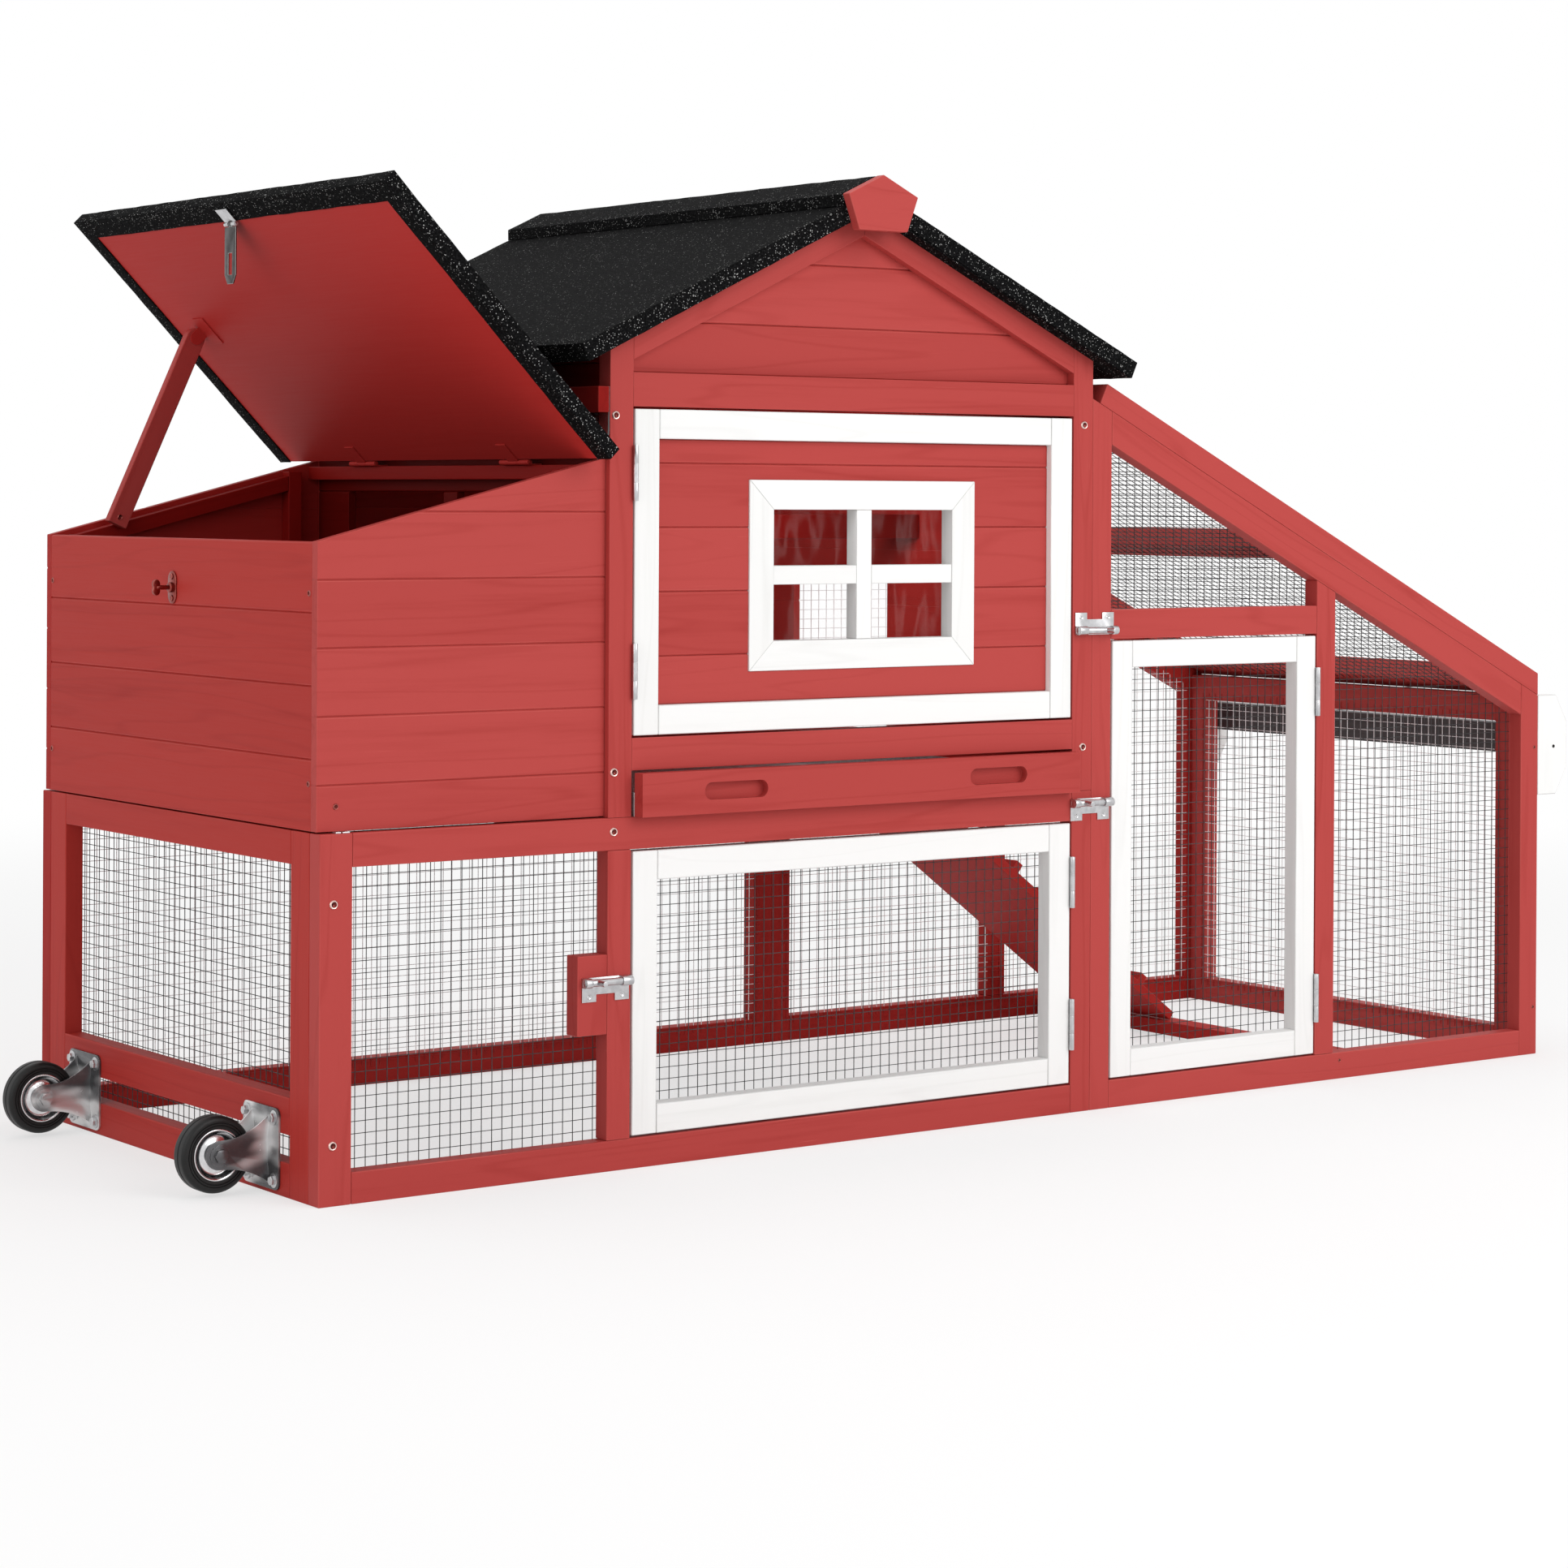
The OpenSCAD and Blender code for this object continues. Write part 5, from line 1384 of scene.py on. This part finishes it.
@dataclass
class Films:
    """The clear rain flap over the lid hinge and the creased window sheet."""

    model: Model
    straight: float = 46 * MM
    bend_radius: float = 24 * MM
    bend: float = 42.0
    batten_gap: float = 0.4 * MM
    ripple: float = 1.4 * MM
    ripple_scale: float = 16.0
    ripple_seed: tuple[float, float] = (0.4, 0.2)
    steps_along: int = 90
    steps_down: int = 22
    cut_edge: float = 3.0 * MM
    pane_cells: int = 40
    pane_wave: float = 0.8 * MM
    pane_scale: tuple[float, float] = (22.0, 7.0)
    pane_seed: float = 3.1

    def build(self) -> None:
        """Makes both sheets."""
        self.rain_flap()
        self.window_sheet()

    def rain_flap(self) -> None:
        """Strip that hangs from its batten and rolls out at the foot."""
        low, high = corners("rain_flap")
        length = self.straight + self.bend_radius * math.radians(self.bend)
        width = high.y - low.y
        along = [low.y, low.y + self.cut_edge]
        along += [low.y + width * i / self.steps_along for i in range(1, self.steps_along)]
        along += [high.y - self.cut_edge, high.y]
        down = [length * j / self.steps_down for j in range(self.steps_down)]
        down += [length - self.cut_edge, length]
        work = bmesh.new()
        rim = work.faces.layers.float.new("rim")
        rows = []
        for s in down:
            arc = max(0.0, s - self.straight) / self.bend_radius
            x = high.x - self.batten_gap - self.bend_radius * (1.0 - math.cos(arc))
            z = high.z - min(s, self.straight) - self.bend_radius * math.sin(arc)
            sway = self.ripple * (s / length) ** 2
            places = [Vector((y * self.ripple_scale, *self.ripple_seed)) for y in along]
            waves = [abs(sway * noise.noise(place)) for place in places]
            rows.append([work.verts.new((x - wave, y, z)) for y, wave in zip(along, waves)])
        # The cut edges are marked for the film's painted highlight.
        for j, faces in enumerate(weave(work, rows)):
            for i, face in enumerate(faces):
                face[rim] = 1.0 if i in (0, len(along) - 2) or j == len(rows) - 2 else 0.0
        mesh = to_mesh(work, "rain_strip", smooth=True)
        piece = self.model.add("rain_strip", mesh, self.model.body_of["rain_flap"], Slot.CLEAR)
        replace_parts(piece, "rain_flap")

    def window_sheet(self) -> None:
        """Clear sheet stapled behind the window, with shallow creases."""
        low, high = corners("window_pane")
        cells = self.pane_cells
        across = [low.x + (high.x - low.x) * i / cells for i in range(cells + 1)]
        up = [low.z + (high.z - low.z) * j / cells for j in range(cells + 1)]
        work = bmesh.new()
        rows = []
        for z in up:
            row = []
            for x in across:
                place = Vector((x * self.pane_scale[0], self.pane_seed, z * self.pane_scale[1]))
                wave = noise.noise(place)
                row.append(work.verts.new((x, high.y + self.pane_wave * wave, z)))
            rows.append(row)
        weave(work, rows)
        mesh = to_mesh(work, "window_film", smooth=True)
        body = self.model.body_of["window_pane"]
        piece = self.model.add("window_film", mesh, body, Slot.CLEAR, WINDOW_FILM)
        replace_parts(piece, "window_pane")


class Facing(Enum):
    """The way that a screw's head looks."""

    FRONT = (0.0, -1.0, 0.0)
    BACK = (0.0, 1.0, 0.0)
    LEFT = (-1.0, 0.0, 0.0)

    def axes(self) -> tuple[Vector, Vector, Vector]:
        """The way out, and two ways across the surface.

        Returns:
            Three unit vectors, square to each other.
        """
        out = Vector(self.value)
        side = out.orthogonal().normalized()
        return out, side, out.cross(side)


@dataclass
class Fasteners:
    """Cross-head screws in the timber and the fittings, and the casters' hexagon bolts."""

    model: Model
    wood_screw: float = 5.0 * MM
    small_screw: float = 3.3 * MM
    nail: float = 2.3 * MM
    plate_screw: float = 2.6 * MM
    hex_bolt: float = 5.0 * MM
    crown_share: float = 0.42
    recess_reach: float = 0.5
    recess_arm: float = 0.9
    recess_drop: float = 0.25
    recess_floor: float = 0.15
    washer_share: float = 1.55
    washer_height: float = 0.3
    washer_sides: int = 28
    hex_height: float = 0.8
    hex_sides: int = 6
    crease: float = 45.0
    steps: int = 20
    base_inset: float = 16 * MM
    base_heights: tuple[float, ...] = (308 * MM, 62 * MM)
    post_inset: float = 7 * MM
    left_heights: tuple[float, ...] = (813 * MM, 429 * MM, 365 * MM)
    right_heights: tuple[float, ...] = (813 * MM, 432 * MM)
    nail_inset: float = 7 * MM
    nail_heights: tuple[float, ...] = (403 * MM, 62 * MM)
    rail_nail: tuple[float, float] = (361 * MM, 23 * MM)
    nest_inset: float = 17 * MM
    nest_depth: float = 12 * MM
    nest_heights: tuple[float, ...] = (625 * MM, 430 * MM)
    nest_side: tuple[float, float] = (10 * MM, 407 * MM)
    handle_spot: tuple[float, float] = (30 * MM, 403 * MM)
    prop_inset: float = 14 * MM
    tab_reach: float = 15.5 * MM
    tab_half: float = 21 * MM
    tab_sink: float = 1.2 * MM
    bolt_half: float = 30 * MM
    bolt_inset: float = 10 * MM
    bolt_seat: float = 2.3 * MM

    RINGS = ((1.0, 0.0), (0.94, 0.5), (0.80, 0.8), (0.62, 0.74), (0.46, 0.3))
    HIGHLIGHT_RINGS = 3
    STUD_RINGS = ((1.0, 0.0), (1.0, 0.78), (0.88, 1.0))
    BOLT_WAYS = {"house_bolt": 1.0, "run_bolt": -1.0, "lower_bolt": -1.0}

    def head(
        self, work: bmesh.types.BMesh, spot: Vector, facing: Facing, radius: float, spin: float,
    ) -> None:
        """Adds one domed head with a cross recess.

        Args:
            work: The geometry that it joins.
            spot: Where it sits on the surface.
            facing: The way it looks.
            radius: Its radius.
            spin: Turn of the cross, in radians.
        """
        out, side, up = facing.axes()
        crown = radius * self.crown_share
        rim = work.faces.layers.float["rim"]
        loops = []
        for share, lift in self.RINGS:
            loop = []
            for i in range(self.steps):
                angle = spin + FULL_TURN * i / self.steps
                arm = abs(math.cos(2.0 * (angle - spin)))
                crossed = share < self.recess_reach and arm > self.recess_arm
                sunk = crown * self.recess_drop if crossed else 0.0
                around = side * math.cos(angle) + up * math.sin(angle)
                loop.append(work.verts.new(spot + around * (radius * share) + out * (crown * lift - sunk)))
            loops.append(loop)
        # The outer rings take the plating's edge colour: a painted highlight round the head, partly worn
        # plating.
        for level, (outer, inner) in enumerate(zip(loops, loops[1:])):
            for face in bridge(work, outer, inner):
                face[rim] = 1.0 if level < self.HIGHLIGHT_RINGS else 0.0
        middle = work.verts.new(spot + out * (crown * self.recess_floor))
        for i in range(self.steps):
            work.faces.new((loops[-1][i], loops[-1][(i + 1) % self.steps], middle))
        work.faces.new(list(reversed(loops[0])))

    def stud(
        self, work: bmesh.types.BMesh, spot: Vector, facing: Facing,
        radius: float, height: float, sides: int,
    ) -> None:
        """Adds a short prism with an eased top: a washer, or a hexagon head.

        Args:
            work: The geometry that it joins.
            spot: Where it sits on the surface.
            facing: The way it looks.
            radius: Its radius.
            height: How far it stands out.
            sides: Its number of sides.
        """
        out, side, up = facing.axes()
        angles = [FULL_TURN * i / sides for i in range(sides)]
        around = [side * math.cos(t) + up * math.sin(t) for t in angles]
        loops = []
        for share, lift in self.STUD_RINGS:
            rise = out * (height * lift)
            loops.append([work.verts.new(spot + a * (radius * share) + rise) for a in around])
        close_prism(work, loops)

    def row(
        self, name: str, body: str, facing: Facing, radius: float, spots: list[Vector], finish: Finish,
    ) -> None:
        """Makes one piece of the screws that share a body and a side.

        Args:
            name: The piece's name.
            body: The body that it rides on.
            facing: The way the heads look.
            radius: Radius of the heads.
            spots: Where they sit.
            finish: Their plating.
        """
        draw = random.Random(name)
        work = bmesh.new()
        work.faces.layers.float.new("rim")
        for spot in spots:
            self.head(work, spot, facing, radius, draw.uniform(0.0, math.pi / 2.0))
        bmesh.ops.recalc_face_normals(work, faces=work.faces)
        self.model.add(name, to_mesh(work, name, sharp=self.crease), body, Slot.ZINC, finish)

    def build(self) -> None:
        """Sets every screw and bolt."""
        self.frame_screws()
        self.nest_screws()
        self.plate_screws()
        self.caster_bolts()

    def frame_screws(self) -> None:
        """Sets the screws and nails of the frames, the same in front and behind."""
        base_low = corners("base_front_frame")[0]
        house_low, house_high = corners("house_front")
        run_end = corners("run_front_frame")[1].x
        back_y = corners("base_back_frame")[1].y
        screws = [(base_low.x + self.base_inset, z) for z in self.base_heights]
        screws += [(house_low.x + self.post_inset, z) for z in self.left_heights]
        screws += [(house_high.x - 2 * self.post_inset, z) for z in self.right_heights]
        nails = [(run_end - self.nail_inset, z) for z in self.nail_heights]
        nails.append((run_end - self.rail_nail[0], self.rail_nail[1]))
        for kind, radius, places, finish in (
            ("screws", self.wood_screw, screws, RING_SCREW),
            ("nails", self.nail, nails, PAINTED_SCREW),
        ):
            for side, facing, y in (("front", Facing.FRONT, base_low.y), ("back", Facing.BACK, back_y)):
                spots = [Vector((x, y, z)) for x, z in places]
                self.row(f"{side}_{kind}", "frame", facing, radius, spots, finish)

    def nest_screws(self) -> None:
        """Sets the screws of the nest, the handle's cheek and the prop's foot."""
        low, high = corners("nest_end_wall")
        sides = (low.y + self.nest_inset, high.y - self.nest_inset)
        end = [Vector((high.x - self.nest_depth, y, z)) for y in sides for z in self.nest_heights]
        wall = corners("nest_front_wall")[0]
        wall_spot = Vector((wall.x + self.nest_side[0], wall.y, self.nest_side[1]))
        cheek_x = corners("run_front_frame")[1].x + self.handle_spot[0]
        cheek_spot = Vector((cheek_x, corners("carry_handle")[0].y, self.handle_spot[1]))
        foot_spot = corners("lid_prop")[0] + Vector((self.prop_inset, 0.0, self.prop_inset))
        for name, body, facing, radius, spots, finish in (
            ("nest_end_screws", "frame", Facing.LEFT, self.small_screw, end, PAINTED_SCREW),
            ("nest_front_screws", "frame", Facing.FRONT, self.small_screw, [wall_spot], PAINTED_SCREW),
            ("handle_screws", "frame", Facing.FRONT, self.nail, [cheek_spot], DARK_SCREW),
            ("prop_foot_screw", "prop", Facing.FRONT, self.small_screw, [foot_spot], PAINTED_SCREW),
        ):
            self.row(name, body, facing, radius, spots, finish)

    def plate_screws(self) -> None:
        """Sets two screws in the tabs of each barrel bolt's plate."""
        spots = []
        face = corners("bolt_plates")[1].y - self.tab_sink
        for bolt, way in self.BOLT_WAYS.items():
            low, high = corners(bolt)
            middle = (low + high) / 2.0
            for dx in (-self.tab_half, self.tab_half):
                spots.append(Vector((middle.x + dx, face, middle.z + way * self.tab_reach)))
        self.row("bolt_plate_screws", "frame", Facing.FRONT, self.plate_screw, spots, ZINC)

    def caster_bolts(self) -> None:
        """Sets a hexagon bolt on a washer in each corner of the caster plates."""
        low, high = corners("casters")
        washer = self.hex_bolt * self.washer_height
        washer_radius = self.hex_bolt * self.washer_share
        height = self.hex_bolt * self.hex_height
        work = bmesh.new()
        for wheel in ("front_tyre", "rear_tyre"):
            near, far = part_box(wheel)
            middle = (near[1] + far[1]) / 2.0
            for dy in (-self.bolt_half, self.bolt_half):
                for z in (low.z + self.bolt_inset, high.z - self.bolt_inset):
                    spot = Vector((high.x - self.bolt_seat, middle + dy, z))
                    self.stud(work, spot, Facing.LEFT, washer_radius, washer, self.washer_sides)
                    spot.x -= washer
                    self.stud(work, spot, Facing.LEFT, self.hex_bolt, height, self.hex_sides)
        bmesh.ops.recalc_face_normals(work, faces=work.faces)
        self.model.add("caster_bolts", to_mesh(work, "caster_bolts"), "frame", Slot.ZINC)


@dataclass
class TurnLatch:
    """The lobed plate on the nest's end, the butterfly knob on it, and the clip at the nest's foot."""

    model: Model
    plate_rise: float = 18 * MM
    plate_waist: float = 9 * MM
    plate_depth: float = 1.6 * MM
    wing_rise: float = 8.8 * MM
    wing_waist: float = 3.6 * MM
    wing_half: float = 1.7 * MM
    boss: float = 5.6 * MM
    boss_seat: float = 1.2 * MM
    boss_height: float = 4.6 * MM
    boss_sides: int = 24
    rivet: float = 3.4 * MM
    rivet_rise: float = 12 * MM
    rivet_seat: float = 1.4 * MM
    rivet_height: float = 1.6 * MM
    rivet_sides: int = 16
    stem: float = 2.5 * MM
    stem_short: float = 4 * MM
    ease: float = 0.5 * MM
    crease: float = 50.0
    steps: int = 40
    clip_spans: tuple[tuple[float, float], ...] = ((19 * MM, 25.2 * MM), (27 * MM, 35.5 * MM))
    clip_height: float = 1.5 * MM
    clip_inset: float = 1.5 * MM
    clip_tuck: float = 2 * MM
    clip_ease: float = 0.3 * MM

    ACROSS = Vector((0.0, 1.0, 0.0))
    LEFTWARDS = Vector((-1.0, 0.0, 0.0))

    def build(self) -> None:
        """Makes the plate, the knob and the clip."""
        low, high = corners("staple_knob")
        middle = (low + high) / 2.0
        studs = Fasteners(self.model)
        plate = bmesh.new()
        seat = Vector((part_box("base_end_frame")[0][0], middle.y, middle.z))
        self.lobes(
            plate, seat, self.ACROSS, self.LEFTWARDS, self.plate_rise, self.plate_waist, self.plate_depth)
        boss = seat + self.LEFTWARDS * self.boss_seat
        studs.stud(plate, boss, Facing.LEFT, self.boss, self.boss_height, self.boss_sides)
        for way in (-1.0, 1.0):
            lobe = seat + Vector((-self.rivet_seat, 0.0, way * self.rivet_rise))
            studs.stud(plate, lobe, Facing.LEFT, self.rivet, self.rivet_height, self.rivet_sides)
        self.finish(plate, "staple_plate", "frame")
        knob = bmesh.new()
        hub = Vector((low.x + self.wing_waist, middle.y - self.wing_half, middle.z))
        self.lobes(
            knob, hub, -self.LEFTWARDS, self.ACROSS, self.wing_rise, self.wing_waist, 2.0 * self.wing_half)
        stem = Vector((high.x, middle.y, middle.z))
        height = high.x - low.x - self.stem_short
        studs.stud(knob, stem, Facing.LEFT, self.stem, height, self.rivet_sides)
        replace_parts(self.finish(knob, "staple_wings", self.model.body_of["staple_knob"]), "staple_knob")
        self.clip()

    def lobes(
        self, work: bmesh.types.BMesh, seat: Vector, side: Vector, out: Vector,
        rise: float, waist: float, depth: float,
    ) -> None:
        """Adds a two-lobed plate that is tallest along Z.

        Args:
            work: The geometry that it joins.
            seat: Middle of its back face.
            side: The way across it.
            out: The way it stands out.
            rise: Half its height.
            waist: Half its width at the middle.
            depth: Its thickness.
        """
        loops = []
        for lift in (0.0, 1.0):
            loop = []
            for i in range(self.steps):
                angle = FULL_TURN * i / self.steps
                reach = waist + (rise - waist) * math.cos(angle) ** 2
                spot = seat + side * (reach * math.sin(angle)) + out * (depth * lift)
                loop.append(work.verts.new(spot + Vector((0.0, 0.0, reach * math.cos(angle)))))
            loops.append(loop)
        close_prism(work, loops)

    def finish(self, work: bmesh.types.BMesh, name: str, body: str) -> bpy.types.Object:
        """Eases a casting's edges and adds it in bronze.

        Args:
            work: The casting.
            name: Its name.
            body: The body that it rides on.

        Returns:
            The piece.
        """
        bmesh.ops.recalc_face_normals(work, faces=work.faces)
        ease(work, self.ease)
        return self.model.add(name, to_mesh(work, name, sharp=self.crease), body, Slot.ZINC, BRONZE)

    def clip(self) -> None:
        """Small bright clip that shows on the ledge under the nest's front corner."""
        ledge, top = corners("base_front_frame")
        face = corners("nest_front_wall")[0].y
        work = bmesh.new()
        for start, end in self.clip_spans:
            low = Vector((ledge.x + start, ledge.y + self.clip_inset, top.z))
            high = Vector((ledge.x + end, face + self.clip_tuck, top.z + self.clip_height))
            for vert in bmesh.ops.create_cube(work, size=1.0)["verts"]:
                vert.co = (low + high) / 2.0 + vert.co * (high - low)
        ease(work, self.clip_ease)
        self.model.add("nest_foot_clip", to_mesh(work, "nest_foot_clip"), "frame", Slot.ZINC)


@dataclass(frozen=True)
class Softbox:
    """A square soft lamp: where it hangs, its side and its power in watts."""

    name: str
    place: Triple
    size: float
    power: float


@dataclass
class Studio:
    """Pale floor, soft light and the camera at the photograph's place."""

    centre: Triple = (0.0, 0.0, 0.45)
    camera_at: Triple = (-2.6513, -3.5505, 0.7254)
    yaw: float = 0.6307
    pitch: float = -0.0027
    roll: float = 0.0053
    focal_pixels: float = 4416.0
    horizon_pixels: float = 625.0
    sensor: float = 36.0
    floor_half: float = 16.0
    floor_colour: Colour = (0.93, 0.93, 0.93)
    floor_lift: float = 0.62
    floor_fade: tuple[float, float] = (1.6, 4.2)
    sky: float = 0.60
    room_power: float = 15.0
    room_spread: float = 62.0
    room_blend: float = 0.8
    room_soft: float = 0.16
    room_inset: Triple = (0.08, 0.07, 0.1)
    room_goal: Triple = (0.0, 0.42, 0.26)

    SOFTBOXES = (
        Softbox("front_softbox", (0.9, -4.2, 2.6), 3.2, 97.0),
        Softbox("left_softbox", (-4.2, -0.9, 1.9), 2.6, 24.0),
        Softbox("top_softbox", (0.4, 0.6, 4.2), 3.0, 46.0),
    )

    def build(self) -> None:
        """Sets the whole stage."""
        bpy.context.scene.view_settings.view_transform = "Standard"
        self.camera()
        self.floor()
        self.world()
        for softbox in self.SOFTBOXES:
            self.lamp(softbox)
        self.room_lamp()

    def camera(self) -> None:
        """Places the camera from the fit to the photograph's straight edges."""
        data = bpy.data.cameras.new("camera")
        data.sensor_width = self.sensor
        data.lens = self.focal_pixels / IMAGE_PIXELS * self.sensor
        data.shift_y = -(IMAGE_PIXELS / 2.0 - self.horizon_pixels) / IMAGE_PIXELS
        ahead = math.cos(self.pitch)
        forward = Vector((math.sin(self.yaw) * ahead, math.cos(self.yaw) * ahead, math.sin(self.pitch)))
        level = Vector((math.cos(self.yaw), -math.sin(self.yaw), 0.0))
        rise = level.cross(forward)
        right = level * math.cos(self.roll) + rise * math.sin(self.roll)
        up = rise * math.cos(self.roll) - level * math.sin(self.roll)
        turn = Matrix((right, up, -forward)).transposed().to_4x4()
        camera = bpy.data.objects.new("camera", data)
        camera.matrix_world = Matrix.Translation(self.camera_at) @ turn
        bpy.context.scene.collection.objects.link(camera)
        bpy.context.scene.camera = camera

    def floor(self) -> None:
        """Pale floor that fades to the white background away from the model."""
        h = self.floor_half
        mesh = bpy.data.meshes.new("floor")
        mesh.from_pydata([(-h, -h, 0.0), (h, -h, 0.0), (h, h, 0.0), (-h, h, 0.0)], [], [(0, 1, 2, 3)])
        floor = bpy.data.objects.new("floor", mesh)
        bpy.context.scene.collection.objects.link(floor)
        g = Graph("pale_floor")
        far = g.node("ShaderNodeVectorMath", {"operation": "LENGTH"}, {0: g.place()}, "Value")
        matt = g.node("ShaderNodeBsdfDiffuse", {}, {"Color": (*self.floor_colour, 1.0)})
        white = g.node("ShaderNodeEmission", {}, {"Color": PURE_WHITE, "Strength": 1.0})
        lift = far.step(*self.floor_fade) * (1.0 - self.floor_lift) + self.floor_lift
        inputs = {0: lift * g.shown(), 1: matt, 2: white}
        mesh.materials.append(g.close(g.node("ShaderNodeMixShader", {}, inputs)))
        floor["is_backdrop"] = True

    def world(self) -> None:
        """Even soft light, with a white background for the camera and for reflections."""
        g = Graph("studio", Owner.WORLD)
        strength = g.node("ShaderNodeMapRange", {}, {"Value": g.shown(), "To Min": self.sky, "To Max": 1.0})
        inputs = {"Color": PURE_WHITE, "Strength": strength}
        bpy.context.scene.world = g.close(g.node("ShaderNodeBackground", {}, inputs))

    def lamp(self, softbox: Softbox) -> None:
        """Hangs a soft lamp that looks at the model.

        Args:
            softbox: The lamp.
        """
        data = bpy.data.lights.new(softbox.name, "AREA")
        data.size = softbox.size
        data.energy = softbox.power
        self.hang(data, Vector(softbox.place), Vector(self.centre))

    def room_lamp(self) -> None:
        """Lights the sleeping room's right wall, which shows through the window."""
        data = bpy.data.lights.new("room_lamp", "SPOT")
        data.energy = self.room_power
        data.spot_size = math.radians(self.room_spread)
        data.spot_blend = self.room_blend
        data.shadow_soft_size = self.room_soft
        low, high = corners("house_left_wall")
        inset = Vector(self.room_inset)
        place = Vector((high.x + inset.x, low.y + inset.y, high.z - inset.z))
        self.hang(data, place, corners("house_right_wall")[0] + Vector(self.room_goal))

    def hang(self, data: bpy.types.Light, place: Vector, goal: Vector) -> None:
        """Links a lamp that looks at a goal.

        Args:
            data: The lamp, whose name it takes.
            place: Where it hangs.
            goal: Where it looks.
        """
        lamp = bpy.data.objects.new(data.name, data)
        lamp.location = place
        lamp.rotation_euler = (goal - place).to_track_quat("-Z", "Y").to_euler()
        bpy.context.scene.collection.objects.link(lamp)


def clear_scene() -> None:
    """Empties the file that Blender starts with."""
    for thing in list(bpy.data.objects):
        bpy.data.objects.remove(thing)


def main() -> None:
    """Builds the stage and dresses the model, sub-assembly by sub-assembly."""
    logging.basicConfig(level=logging.INFO, format="%(name)s: %(message)s")
    clear_scene()
    model = Model()
    Studio().build()
    Carpenter(model).dress_all()
    Roofer(model).dress_all()
    Smith(model).dress_all()
    Wheels(model).build()
    Films(model).build()
    Fasteners(model).build()
    TurnLatch(model).build()


if __name__ == "__main__":
    main()
